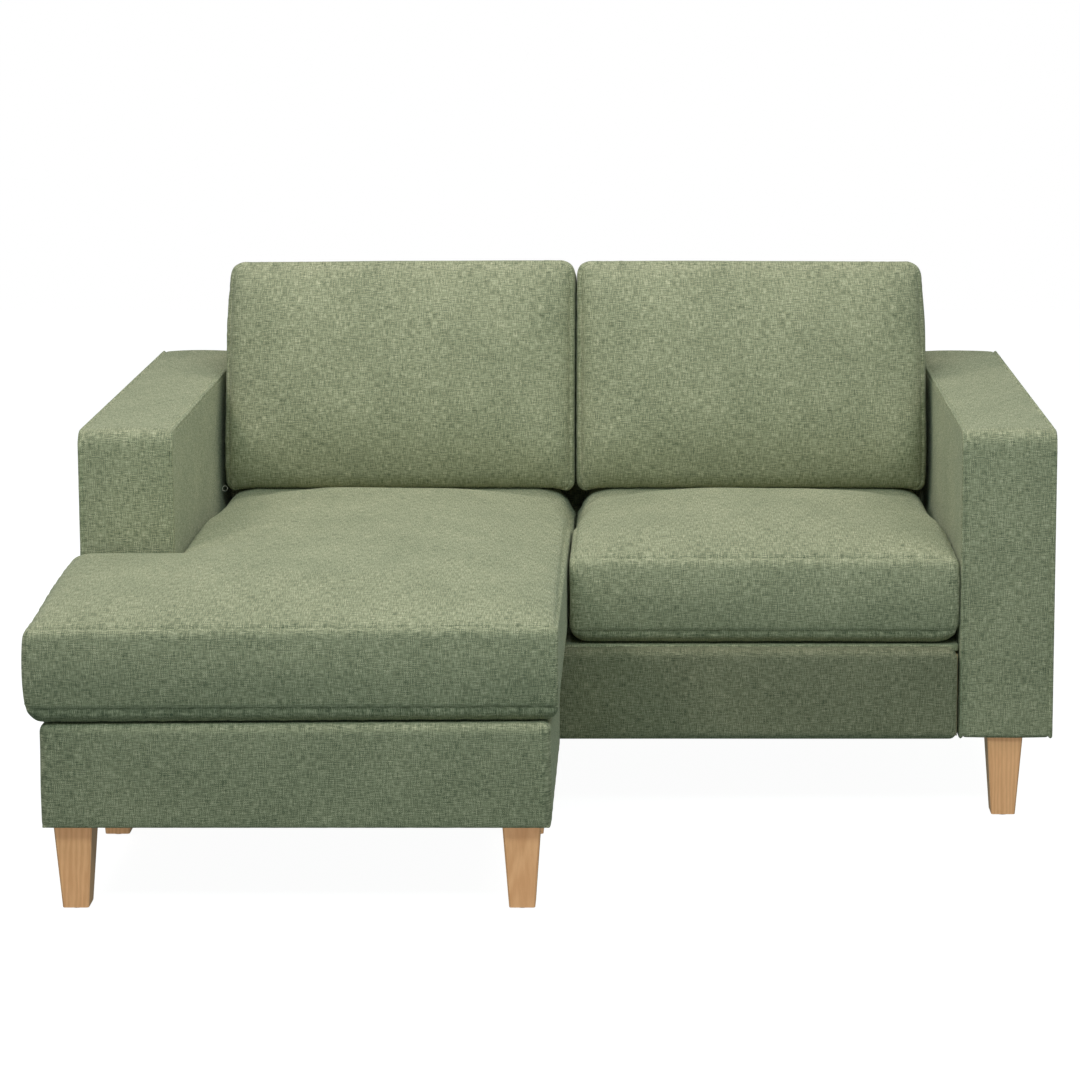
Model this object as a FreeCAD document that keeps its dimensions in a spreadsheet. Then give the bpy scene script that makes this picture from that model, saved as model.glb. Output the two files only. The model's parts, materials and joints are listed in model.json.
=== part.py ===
import FreeCAD, Part
import os

import Sketcher

# Two-seat sofa with a chaise: a sofa body, a free-standing ottoman under the chaise, one seat
# cushion, one L-shaped chaise cushion and two back cushions.
# Frame: +Z up, +X to the sitter's left, -Y to the front; the origin is on the floor, at the middle
# of the whole object's box. Sizes are in millimetres.

SIZES = [
    # whole object
    ("overall_width", 1660, "across the outer faces of the arms"),
    ("sofa_depth", 900, "front to rear of the arms"),
    ("chaise_reach", 480, "how far the chaise stands in front of the arms"),
    ("arm_width", 161, "width of each arm"),
    ("arm_height", 675, "floor to the top of the arms"),
    ("leg_height", 144, "floor to the underside of the upholstery"),
    ("deck_height", 305, "floor to the deck that the cushions lie on"),
    ("back_height", 740, "floor to the top of the back frame"),
    ("back_top_deep", 160.5, "front to rear of the back frame's top"),
    ("back_slope", 0.231, "set-back of the back's face per unit of height"),
    # upholstery layers
    ("cover_skin", 1.5, "thickness of the woven cover"),
    ("layer_gap", 0.2, "clearance between a cover and the foam in it"),
    ("arm_foam", 12, "foam wrap on the arms and the back"),
    ("deck_foam", 10.5, "foam on the deck"),
    ("front_foam", 22.5, "foam in front of the seat's front rail"),
    ("front_proud", 12, "how far the seat front stands in front of the arms"),
    ("front_side_gap", 10, "gap between the seat front and each arm"),
    ("edge_round", 20, "rounding of the arms' and back's edges"),
    ("front_round", 14, "rounding of the seat front's edges"),
    ("frame_gap", 2, "gap between the sofa's bolted sub-frames"),
    ("fit_gap", 0.5, "clearance between pieces of different bodies"),
    # timber
    ("rail_thick", 25, "thickness of the seat rails"),
    ("panel_thick", 3, "thickness of the hardboard panels"),
    ("post_deep", 60, "depth of the arm posts"),
    ("arm_rail_tall", 90, "height of the arms' bottom rails"),
    ("arm_top_thick", 25, "thickness of the arms' top rails"),
    ("upright_thick", 22, "thickness of the back's plywood uprights"),
    ("back_rail_tall", 90, "height of the back's rails"),
    ("back_rail_thick", 25, "thickness of the back's rails"),
    # springs, webbing and cloths
    ("wire_radius", 2, "radius of the sinuous spring wire"),
    ("spring_count", 8, "sinuous springs in the seat"),
    ("spring_half_width", 30, "half the width of a spring, to the wire's middle"),
    ("spring_pitch", 31, "about one bar of a spring to the next"),
    ("clip_width", 20, "width of a spring clip"),
    ("clip_deep", 14, "depth of a spring clip"),
    ("clip_wall", 1.5, "wall of a spring clip over the wire"),
    ("web_width", 60, "width of the webbing"),
    ("web_thick", 2, "thickness of the webbing"),
    ("back_web_count", 8, "webs on the back"),
    ("ottoman_web_count", 6, "webs across the ottoman"),
    ("ottoman_cross_count", 3, "webs along the ottoman"),
    ("cloth_thick", 1, "thickness of the black dust cloth"),
    # legs and fasteners
    ("leg_top", 61, "side of a leg at its top"),
    ("leg_foot", 41, "side of a leg at its foot"),
    ("leg_bevel", 2.5, "bevel of the legs' edges"),
    ("leg_set_back", 40, "arm ends to the middle of a sofa leg"),
    ("glide_radius", 13, "radius of the plastic glides"),
    ("glide_thick", 3, "thickness of the plastic glides"),
    ("bolt_radius", 4, "radius of the bolts"),
    ("bolt_gap", 0.4, "clearance round the bolts"),
    ("bolt_head_radius", 8, "radius of the bolt heads"),
    ("bolt_head_thick", 5, "thickness of the bolt heads"),
    ("bolt_bite", 60, "length of a frame bolt inside the arm's timber"),
    ("leg_bolt_down", 40, "length of a leg bolt inside the leg"),
    ("leg_bolt_up", 45, "length of a leg bolt above the leg"),
    ("seat_bolt_rise", 51, "underside of the seat to its bolts"),
    ("seat_bolt_front", 110, "arm fronts to the first seat bolt"),
    ("seat_bolt_rear", 117, "face of the back to the second seat bolt"),
    ("back_bolt_rise", 95, "deck to the lower bolt between back and arm"),
    ("back_bolt_drop", 75, "top of the arm or back, if lower, to the upper bolt"),
    # ottoman
    ("ottoman_outer_inset", 22, "arm's outer face to the ottoman's side"),
    ("ottoman_inner_inset", 14, "middle of the sofa to the ottoman's side"),
    ("ottoman_front_inset", 2, "front of the chaise cushion to the ottoman's front"),
    ("ottoman_rear_gap", 8, "ottoman's rear to the seat front"),
    ("ottoman_foam", 10, "foam on the ottoman's sides"),
    ("ottoman_rail", 22, "thickness of the ottoman's rails"),
    ("ottoman_block", 60, "side of the ottoman's corner blocks"),
    ("ottoman_leg_inset", 47, "ottoman's sides to the middle of a leg"),
    # cushions
    ("seat_cushion_tall", 165, "height of the seat and chaise cushions"),
    ("middle_gap", 4, "gap between neighbouring cushions"),
    ("side_gap", 3, "gap between a seat cushion and the arm"),
    ("rear_gap", 5, "gap between a seat cushion and the back"),
    ("chaise_arm_gap", 6, "gap between the chaise cushion and the arm's front"),
    ("seat_round", 26, "rounding of the seat cushions"),
    ("back_cushion_deep", 195, "front to rear of a back cushion, level"),
    ("back_cushion_top", 903, "floor to the top front corner of the back cushions"),
    ("back_cushion_gap", 1.5, "gap between the back cushions and what they rest on"),
    ("back_side_gap", 12, "gap between a back cushion and the arm"),
    ("back_round", 30, "rounding of the back cushions"),
    # zips
    ("tape_width", 26, "width of a zip's tape"),
    ("tape_thick", 0.8, "thickness of a zip's tape"),
    ("coil_width", 6, "width of a zip's closed coil"),
    ("coil_tall", 2.2, "height of a zip's coil above the cover"),
    ("slider_long", 12, "length of a zip's slider"),
    ("slider_wide", 10, "width of a zip's slider"),
    ("slider_tall", 4.5, "height of a zip's slider above the cover"),
    ("slider_play", 0.4, "clearance between a slider and its coil"),
    ("pull_long", 24, "length of a zip's pull"),
    ("pull_wide", 7, "width of a zip's pull"),
    ("pull_thick", 1.5, "thickness of a zip's pull"),
    ("pull_hole", 2, "radius of the hole in a zip's pull"),
    ("seat_zip_end", 72, "sides of a seat cushion to the ends of its zip"),
    ("back_zip_end", 89, "top of a back cushion to the upper end of its zip"),
]

doc = FreeCAD.newDocument("chaise_sofa")
dims = doc.addObject("Spreadsheet::Sheet", "dims")
for row, (alias, size, meaning) in enumerate(SIZES, 1):
    dims.set(f"A{row}", meaning)
    dims.set(f"B{row}", str(size))
    dims.setAlias(f"B{row}", alias)
doc.recompute()

# Places that several pieces share, as expressions on the sheet.
SIDE = "(dims.overall_width / 2)"
INNER = "(dims.overall_width / 2 - dims.arm_width)"
REAR = "((dims.chaise_reach + dims.sofa_depth) / 2)"
ARM_FRONT = "((dims.chaise_reach - dims.sofa_depth) / 2)"
CHAISE_FRONT = "(-(dims.chaise_reach + dims.sofa_depth) / 2)"
BACK_REAR = f"({REAR} - dims.frame_gap)"
BACK_LEAN = "(dims.back_slope * (dims.back_height - dims.deck_height))"
BACK_FACE = f"({BACK_REAR} - dims.back_top_deep - {BACK_LEAN})"
SEAT_FRONT = f"({ARM_FRONT} - dims.front_proud)"
FRAME_SIDE = f"({INNER} - dims.frame_gap)"
SKIN = "(dims.cover_skin + dims.layer_gap)"
LINING = f"({SKIN} + dims.arm_foam)"
RAIL_FRONT = f"({SEAT_FRONT} + {SKIN} + dims.front_foam)"
RAIL_REAR = f"({BACK_FACE} - dims.frame_gap)"
FOAM_LOW = "(dims.deck_height - dims.cover_skin - dims.deck_foam)"
SPRING_LEVEL = f"({FOAM_LOW} - dims.clip_wall - dims.wire_radius)"
RAIL_SPAN = ("(dims.leg_height + dims.cloth_thick)", f"({SPRING_LEVEL} - dims.wire_radius)")
CUSHION_LOW = "(dims.deck_height + dims.fit_gap)"
CUSHION_HIGH = f"({CUSHION_LOW} + dims.seat_cushion_tall)"
CUSHION_REAR = f"({BACK_FACE} - dims.rear_gap)"
BACK_CUSHION_LOW = f"({CUSHION_HIGH} + dims.back_cushion_gap)"
SLANT = "sqrt(1 + dims.back_slope ^ 2)"
SEAT_CUSHION_X = ("(dims.middle_gap / 2)", f"({INNER} - dims.side_gap)")
OTTOMAN_X = (f"(-({SIDE} - dims.ottoman_outer_inset))", "(-dims.ottoman_inner_inset)")
OTTOMAN_Y = (
    f"({CHAISE_FRONT} + dims.ottoman_front_inset)",
    f"({SEAT_FRONT} - dims.ottoman_rear_gap)",
)

SIDES = (("left", -1), ("right", 1))
nodes = []


# ---- small makers ----

def node(label, item):
    """Mark an object of the document as a sub-part, under the name of its file."""
    item.Label = label
    nodes.append(item)
    return item


def inset(span, near, far=None):
    """A (low, high) span drawn in by near at its low end and by far at its high end."""
    low, high = span
    return f"(({low}) + {near})", f"(({high}) - {near if far is None else far})"


def on_side(sign, span):
    """A span that is given for +X, on the side that sign names."""
    low, high = span
    return (low, high) if sign > 0 else (f"(-({high}))", f"(-({low}))")


def both_ways(reach):
    """A span that reaches equally far to both sides."""
    return f"(-{reach})", reach


def about(middle, width):
    """A span of a given width about its middle."""
    return f"({middle} - {width} / 2)", f"({middle} + {width} / 2)"


def middles(span, count):
    """The middles of count equal strips of a span."""
    low, high = span
    return [f"({low} + ({high} - {low}) * {2 * index + 1} / {2 * count})" for index in range(count)]


def block(name, x, y, z):
    """A box between (low, high) spans along X, Y and Z."""
    box = doc.addObject("Part::Box", name)
    for size, axis, (low, high) in zip(("Length", "Width", "Height"), "xyz", (x, y, z)):
        box.setExpression(size, f"{high} - {low}")
        box.setExpression(f"Placement.Base.{axis}", low)
    return box


def rod(name, start, length, radius, turn=FreeCAD.Rotation()):
    """A cylinder that starts at a point and runs along +Z, or the way that turn takes +Z."""
    cylinder = doc.addObject("Part::Cylinder", name)
    cylinder.Placement = FreeCAD.Placement(FreeCAD.Vector(), turn)
    cylinder.setExpression("Radius", radius)
    cylinder.setExpression("Height", length)
    for axis, place in zip("xyz", start):
        cylinder.setExpression(f"Placement.Base.{axis}", place)
    return cylinder


def outline(body, name, role, points):
    """A closed sketch on one of the body's origin planes, with every corner bound to the sheet."""
    sketch = body.newObject("Sketcher::SketchObject", name)
    planes = [feature for feature in body.Origin.OriginFeatures if feature.Role == role]
    sketch.AttachmentSupport = [(planes[0], "")]
    sketch.MapMode = "FlatFace"
    count = len(points)
    ring = Part.Circle(FreeCAD.Vector(), FreeCAD.Vector(0, 0, 1), 100).discretize(count + 1)
    for corner in range(count):
        sketch.addGeometry(Part.LineSegment(ring[corner], ring[(corner + 1) % count]), False)
    for corner in range(count):
        sketch.addConstraint(Sketcher.Constraint("Coincident", corner, 2, (corner + 1) % count, 1))
    for corner, point in enumerate(points):
        for kind, place in zip(("DistanceX", "DistanceY"), point):
            index = sketch.addConstraint(Sketcher.Constraint(kind, -1, 1, corner, 1, 10.0))
            sketch.renameConstraint(index, f"{kind}_{corner}")
            sketch.setExpression(f"Constraints.{kind}_{corner}", place)
    return sketch


def prism(name, role, points, span, radius=None, rounded=None):
    """A padded outline on the XY or the YZ plane, with the edges that rounded picks filleted."""
    body = doc.addObject("PartDesign::Body", name)
    sketch = outline(body, name + "_outline", role, points)
    pad = body.newObject("PartDesign::Pad", name + "_pad")
    pad.Profile = sketch
    pad.setExpression("Length", f"{span[1]} - {span[0]}")
    body.setExpression("Placement.Base." + {"XY_Plane": "z", "YZ_Plane": "x"}[role], span[0])
    if rounded is not None:
        doc.recompute()
        edges = [f"Edge{number}" for number, edge in enumerate(pad.Shape.Edges, 1)
                 if rounded(edge, pad.Shape)]
        fillet = body.newObject("PartDesign::Fillet", name + "_rounding")
        fillet.Base = (pad, edges)
        fillet.setExpression("Radius", radius)
    return body


def rectangle(x, y):
    """The corners of a rectangle between two spans."""
    return [(x[0], y[0]), (x[1], y[0]), (x[1], y[1]), (x[0], y[1])]


def every_edge(edge, shape):
    return True


def upright(edge, shape):
    return edge.BoundBox.ZLength > 0.5


def not_underneath(edge, shape):
    return edge.BoundBox.ZMax > shape.BoundBox.ZMin + 1


def round_the_front(edge, shape):
    """The edges of a block's front face, apart from its lower one."""
    box = edge.BoundBox
    return box.YMax < shape.BoundBox.YMin + 1 and box.ZMax > shape.BoundBox.ZMin + 1


def across_the_top(edge, shape):
    """The edges that run along X at the highest level."""
    box = edge.BoundBox
    return box.ZMin > shape.BoundBox.ZMax - 1 and box.XLength > 1


def cut(name, base, tool):
    """One object less another."""
    result = doc.addObject("Part::Cut", name)
    result.Base = base
    result.Tool = tool
    return result


def fuse(name, members):
    """Several objects joined into one solid."""
    result = doc.addObject("Part::MultiFuse", name)
    result.Shapes = members
    return result


def group(name, members):
    """Separate solids that share one sub-part."""
    compound = doc.addObject("Part::Compound", name)
    compound.Links = members
    return compound


# ---- bolts, and the holes that clear them ----

def frame_bolts():
    """The bolts that hold the seat and the back between the arms; returns their holes."""
    post_middle = f"({REAR} - {LINING} - dims.post_deep / 2)"
    seat_level = "(dims.leg_height + dims.seat_bolt_rise)"
    back_low = "(dims.deck_height + dims.back_bolt_rise)"
    back_high = "(min(dims.arm_height; dims.back_height) - dims.back_bolt_drop)"
    places = {
        "seat": [(f"({ARM_FRONT} + dims.seat_bolt_front)", seat_level),
                 (f"({BACK_FACE} - dims.seat_bolt_rear)", seat_level)],
        "back": [(post_middle, back_low), (post_middle, back_high)],
    }
    heads_at = {
        "seat": f"({FRAME_SIDE} - dims.rail_thick)",
        "back": f"({FRAME_SIDE} - {SKIN} - dims.upright_thick)",
    }
    tip = f"({INNER} + {LINING} + dims.panel_thick + dims.bolt_bite)"
    bolts, holes = [], []
    for side, sign in SIDES:
        outward = FreeCAD.Rotation(FreeCAD.Vector(0, 1, 0), 90 * sign)
        for kind, spots in places.items():
            start = heads_at[kind]
            for number, (y, z) in enumerate(spots, 1):
                name = f"{kind}_bolt_{side}_{number}"
                shank = rod(name + "_shank", (f"{sign} * {start}", y, z), f"{tip} - {start}",
                            "dims.bolt_radius", outward)
                head = rod(name + "_head", (f"{sign} * ({start} - dims.bolt_head_thick)", y, z),
                           "dims.bolt_head_thick", "dims.bolt_head_radius", outward)
                bolts.append(fuse(name, [shank, head]))
                holes.append(rod(name + "_hole", (f"{sign} * ({start} - 1)", y, z),
                                 f"{tip} - {start} + 2", "dims.bolt_radius + dims.bolt_gap", outward))
    node("frame_bolts", group("frame_bolts", bolts))
    return group("frame_bolt_holes", holes)


def leg_bolts(label, places):
    """The hanger bolts that screw the legs on; returns their holes."""
    low = "(dims.leg_height - dims.leg_bolt_down)"
    length = "(dims.leg_bolt_down + dims.leg_bolt_up)"
    bolts, holes = [], []
    for where, (x, y) in places.items():
        bolts.append(rod(f"{label}_{where}", (x, y, low), length, "dims.bolt_radius"))
        holes.append(rod(f"{label}_{where}_hole", (x, y, f"{low} - 1"), f"{length} + 2",
                         "dims.bolt_radius + dims.bolt_gap"))
    node(label, group(label, bolts))
    return group(label + "_holes", holes)


# ---- legs ----

def bevelled_square(x, y, side):
    """The corners of a square about a point, with a small bevel across each of its corners."""
    full, less = f"{side} / 2", f"({side} / 2 - dims.leg_bevel)"
    corners = []
    for way_x, way_y in ((-1, -1), (1, -1), (1, 1), (-1, 1)):
        ends = [(full, less), (less, full)] if way_x == way_y else [(less, full), (full, less)]
        corners += [(f"({x} + {way_x} * {reach_x})", f"({y} + {way_y} * {reach_y})")
                    for reach_x, reach_y in ends]
    return corners


def leg(label, x, y, holes):
    """A tapered square leg, narrower at the foot, drilled for its bolt."""
    body = doc.addObject("PartDesign::Body", label + "_body")
    ends = []
    for end, side, height in (("foot", "dims.leg_foot", "dims.glide_thick"),
                              ("top", "dims.leg_top", "dims.leg_height")):
        sketch = outline(body, f"{label}_{end}", "XY_Plane", bevelled_square(x, y, side))
        sketch.setExpression("AttachmentOffset.Base.z", height)
        ends.append(sketch)
    loft = body.newObject("PartDesign::AdditiveLoft", label + "_loft")
    loft.Profile = ends[0]
    loft.Sections = ends[1:]
    node(label, cut(label, body, holes))


def legs(prefix, places):
    """Four legs with their bolts and glides; returns the bolts' holes."""
    holes = leg_bolts(prefix + "leg_bolts", places)
    glides = []
    for where, (x, y) in places.items():
        leg(f"{prefix}leg_{where}", x, y, holes)
        glides.append(rod(f"{prefix}glide_{where}", (x, y, "0"), "dims.glide_thick",
                          "dims.glide_radius"))
    node(prefix + "leg_glides", group(prefix + "leg_glides", glides))
    return holes


def sofa_leg_places():
    """X and Y of the legs under the arms' ends."""
    ends = {"front": f"({ARM_FRONT} + dims.leg_set_back)", "rear": f"({REAR} - dims.leg_set_back)"}
    return {f"{end}_{side}": (f"({sign} * ({SIDE} - dims.arm_width / 2))", y)
            for end, y in ends.items() for side, sign in SIDES}


def ottoman_leg_places():
    """X and Y of the legs under the ottoman's corners."""
    along = dict(zip(("left", "right"), inset(OTTOMAN_X, "dims.ottoman_leg_inset")))
    across = dict(zip(("front", "rear"), inset(OTTOMAN_Y, "dims.ottoman_leg_inset")))
    return {f"{end}_{side}": (x, y) for end, y in across.items() for side, x in along.items()}


# ---- arms ----

def arm(side, sign, frame_holes, leg_holes):
    """One arm: a timber frame, hardboard panels, a foam wrap and a woven cover."""
    x, y = on_side(sign, (INNER, SIDE)), (ARM_FRONT, REAR)
    z = ("dims.leg_height", "dims.arm_height")
    holes = group(f"arm_{side}_holes", [frame_holes, leg_holes])

    def wrap(name, step):
        """The arm's outer form drawn in by step, with its upper edges rounded."""
        return prism(name, "XY_Plane", rectangle(inset(x, step), inset(y, step)), inset(z, step),
                     f"dims.edge_round - {step}", not_underneath)

    shell = cut(f"arm_shell_{side}", wrap(f"arm_form_{side}", "0"),
                wrap(f"arm_lining_{side}", "dims.cover_skin"))
    node(f"arm_cover_{side}", cut(f"arm_cover_{side}", shell, holes))

    hollow_z = (f"({z[0]})", f"({z[1]} - {LINING})")
    hollow = block(f"arm_hollow_{side}", inset(x, LINING), inset(y, LINING), hollow_z)
    foam = cut(f"arm_foam_{side}", wrap(f"arm_foam_form_{side}", SKIN), hollow)
    node(f"arm_padding_{side}", cut(f"arm_padding_{side}", foam, holes))

    low, high = f"({z[0]} + {SKIN})", hollow_z[1]
    long = inset(y, LINING)
    near, far = inset(x, LINING)
    timber = inset((near, far), "dims.panel_thick")
    panels = [block(f"arm_panel_{side}_1", (near, timber[0]), long, (low, high)),
              block(f"arm_panel_{side}_2", (timber[1], far), long, (low, high))]
    panel_pair = group(f"arm_panel_pair_{side}", panels)
    node(f"arm_panels_{side}", cut(f"arm_panels_{side}", panel_pair, holes))

    rail_high = f"({low} + dims.arm_rail_tall)"
    top_low = f"({high} - dims.arm_top_thick)"
    post_near, post_far = inset(long, "dims.post_deep")
    members = [
        block(f"arm_base_{side}", timber, long, (low, rail_high)),
        block(f"arm_top_{side}", timber, long, (top_low, high)),
        block(f"arm_post_front_{side}", timber, (long[0], post_near), (rail_high, top_low)),
        block(f"arm_post_rear_{side}", timber, (post_far, long[1]), (rail_high, top_low)),
    ]
    frame = group(f"arm_members_{side}", members)
    node(f"arm_frame_{side}", cut(f"arm_frame_{side}", frame, holes))


# ---- back ----

def back_face(height):
    """Y of the back's leaning face at a height above the deck."""
    return f"({BACK_FACE} + dims.back_slope * ({height} - dims.deck_height))"


def back_profile(step, low=None, rear_step=None):
    """The back's outline in Y and Z, drawn in by step: upright below the deck, leaning above it."""
    low = f"(dims.leg_height + {step})" if low is None else low
    rear = f"({BACK_REAR} - {step if rear_step is None else rear_step})"
    high = f"(dims.back_height - {step})"
    bend = f"(dims.deck_height - {step} * ({SLANT} - 1) / dims.back_slope)"
    return [(f"({BACK_FACE} + {step})", low), (rear, low), (rear, high),
            (f"({back_face(high)} + {step} * {SLANT})", high), (f"({BACK_FACE} + {step})", bend)]


def back(frame_holes):
    """The back between the arms: timber, panel, webbing, foam and cover."""
    x = both_ways(FRAME_SIDE)
    outer = prism("back_form", "YZ_Plane", back_profile("0"), x, "dims.edge_round", across_the_top)
    lining = prism("back_lining", "YZ_Plane", back_profile("dims.cover_skin"),
                   inset(x, "dims.cover_skin"), "dims.edge_round - dims.cover_skin", across_the_top)
    node("back_cover", cut("back_cover", cut("back_cover_shell", outer, lining), frame_holes))

    inside = inset(x, SKIN)
    foam = prism("back_foam_form", "YZ_Plane", back_profile(SKIN), inside,
                 f"dims.edge_round - {SKIN}", across_the_top)
    hollow = prism("back_hollow", "YZ_Plane", back_profile(LINING, low="dims.leg_height"),
                   inset(inside, "-1"))
    node("back_padding", cut("back_padding", foam, hollow))

    low, high = f"(dims.leg_height + {SKIN})", f"(dims.back_height - {LINING})"
    panel_front = f"({BACK_REAR} - {LINING} - dims.panel_thick)"
    panel_rear = f"({BACK_REAR} - {LINING})"
    node("back_panel", block("back_panel", inside, (panel_front, panel_rear), (low, high)))

    profile = back_profile(LINING, low, f"({LINING} + dims.panel_thick)")
    places = {
        "left": (inside[0], f"({inside[0]} + dims.upright_thick)"),
        "middle": both_ways("(dims.upright_thick / 2)"),
        "right": (f"({inside[1]} - dims.upright_thick)", inside[1]),
    }
    uprights = [prism(f"back_upright_{where}", "YZ_Plane", profile, span)
                for where, span in places.items()]
    node("back_uprights", cut("back_uprights", group("back_upright_set", uprights), frame_holes))

    web_front, web_rear = f"({LINING} * {SLANT})", f"(({LINING} + dims.web_thick) * {SLANT})"
    web_ends = ("dims.deck_height", high)
    web_profile = [(f"{back_face(web_ends[0])} + {web_front}", web_ends[0]),
                   (f"{back_face(web_ends[0])} + {web_rear}", web_ends[0]),
                   (f"{back_face(web_ends[1])} + {web_rear}", web_ends[1]),
                   (f"{back_face(web_ends[1])} + {web_front}", web_ends[1])]
    web_count = int(dims.get("back_web_count")) // 2
    rails, webs = [], []
    for half, (near, far) in enumerate((("left", "middle"), ("middle", "right")), 1):
        bay = (places[near][1], places[far][0])
        for level, bottom in (("low", low), ("seat", "dims.deck_height"),
                              ("top", f"({high} - dims.back_rail_tall)")):
            top = f"({bottom} + dims.back_rail_tall)"
            leaning, straight = f"({back_face(top)} + {web_rear})", f"({BACK_FACE} + {LINING})"
            front = straight if level == "low" else leaning
            rails.append(block(f"back_rail_{level}_{half}", bay,
                               (front, f"({front} + dims.back_rail_thick)"), (bottom, top)))
        for number, middle in enumerate(middles(bay, web_count), 1):
            webs.append(prism(f"back_web_{half}_{number}", "YZ_Plane", web_profile,
                              about(middle, "dims.web_width")))
    node("back_rails", group("back_rails", rails))
    node("back_webbing", group("back_webbing", webs))


# ---- seat ----

def sinuous_spring(bars, first, last):
    """One zigzag spring: bars across, joined by half-rounds, between the first and last bars' Y."""
    pitch = (last - first) / (bars - 1)
    straight = dims.get("spring_half_width") - pitch / 2
    edges = []
    for bar in range(bars):
        y = first + bar * pitch
        way = 1 if bar % 2 == 0 else -1
        bar_end = FreeCAD.Vector(way * straight, y, 0)
        edges.append(Part.LineSegment(FreeCAD.Vector(-way * straight, y, 0), bar_end))
        if bar < bars - 1:
            turn = FreeCAD.Vector(way * (straight + pitch / 2), y + pitch / 2, 0)
            edges.append(Part.Arc(bar_end, turn, bar_end + FreeCAD.Vector(0, pitch, 0)))
    path = Part.Wire([edge.toShape() for edge in edges])
    start = FreeCAD.Vector(-straight, first, 0)
    ring = Part.Wire(Part.Circle(start, FreeCAD.Vector(1, 0, 0), dims.get("wire_radius")).toShape())
    return path.makePipeShell([ring], True, False)


def seat(frame_holes):
    """The seat between the arms: rails, springs, deck, upholstered front and dust cloth."""
    x = both_ways(FRAME_SIDE)
    front_rail = (RAIL_FRONT, f"({RAIL_FRONT} + dims.rail_thick)")
    rear_rail = (f"({RAIL_REAR} - dims.rail_thick)", RAIL_REAR)
    node("seat_front_rail", block("seat_front_rail", x, front_rail, RAIL_SPAN))
    node("seat_rear_rail", block("seat_rear_rail", x, rear_rail, RAIL_SPAN))
    side_span = (f"({FRAME_SIDE} - dims.rail_thick)", FRAME_SIDE)
    side_rails = [block(f"seat_side_rail_{side}", on_side(sign, side_span),
                        (front_rail[1], rear_rail[0]), RAIL_SPAN) for side, sign in SIDES]
    side_pair = group("seat_side_rail_pair", side_rails)
    node("seat_side_rails", cut("seat_side_rails", side_pair, frame_holes))

    bay = inset(x, "dims.rail_thick")
    clip_high = f"({SPRING_LEVEL} + dims.wire_radius + dims.clip_wall)"
    across = FreeCAD.Rotation(FreeCAD.Vector(0, 1, 0), 90)
    clips, bores = [], []
    for number, middle in enumerate(middles(bay, int(dims.get("spring_count"))), 1):
        for end, rail in (("front", front_rail), ("rear", rear_rail)):
            name = f"clip_{end}_{number}"
            rail_middle = f"({rail[0]} + dims.rail_thick / 2)"
            body = block(name + "_body", about(middle, "dims.clip_width"),
                         about(rail_middle, "dims.clip_deep"), (RAIL_SPAN[1], clip_high))
            bore = rod(name + "_bore", (f"{middle} - dims.clip_width", rail_middle, SPRING_LEVEL),
                       "2 * dims.clip_width", "dims.wire_radius + dims.layer_gap", across)
            clips.append(cut(name, body, bore))
            bores.append(bore)
    node("spring_clips", group("spring_clips", clips))
    doc.recompute()
    starts = [bore.Placement.Base for bore in bores]
    first, last = starts[0].y, starts[1].y
    spring = sinuous_spring(round((last - first) / dims.get("spring_pitch")) + 1, first, last)
    springs = doc.addObject("Part::Feature", "seat_springs")
    springs.Shape = Part.makeCompound([
        spring.translated(FreeCAD.Vector(start.x + dims.get("clip_width"), 0, start.z))
        for start in starts[::2]])
    node("seat_springs", springs)

    deck_y = (RAIL_FRONT, RAIL_REAR)
    cover_low = "(dims.deck_height - dims.cover_skin)"
    node("deck_padding", block("deck_padding", x, deck_y, (FOAM_LOW, cover_low)))
    node("deck_cover", block("deck_cover", x, deck_y, (cover_low, "dims.deck_height")))
    node("dust_cloth", block("dust_cloth", x, deck_y, ("dims.leg_height", RAIL_SPAN[0])))

    front_x = both_ways(f"({INNER} - dims.front_side_gap)")
    front_y = (SEAT_FRONT, RAIL_FRONT)
    front_z = ("dims.leg_height", "dims.deck_height")

    def front_form(name, step, rear_step):
        """The seat front's form drawn in by step, with its front and upper edges rounded."""
        plan = rectangle(inset(front_x, step), inset(front_y, step, rear_step))
        radius = f"dims.front_round - {step}"
        return prism(name, "XY_Plane", plan, inset(front_z, step), radius, round_the_front)

    node("seat_front_cover", cut("seat_front_cover", front_form("seat_front_form", "0", "0"),
                                 front_form("seat_front_lining", "dims.cover_skin", "-1")))
    node("seat_front_padding", front_form("seat_front_padding", SKIN, "0"))


# ---- ottoman ----

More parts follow.
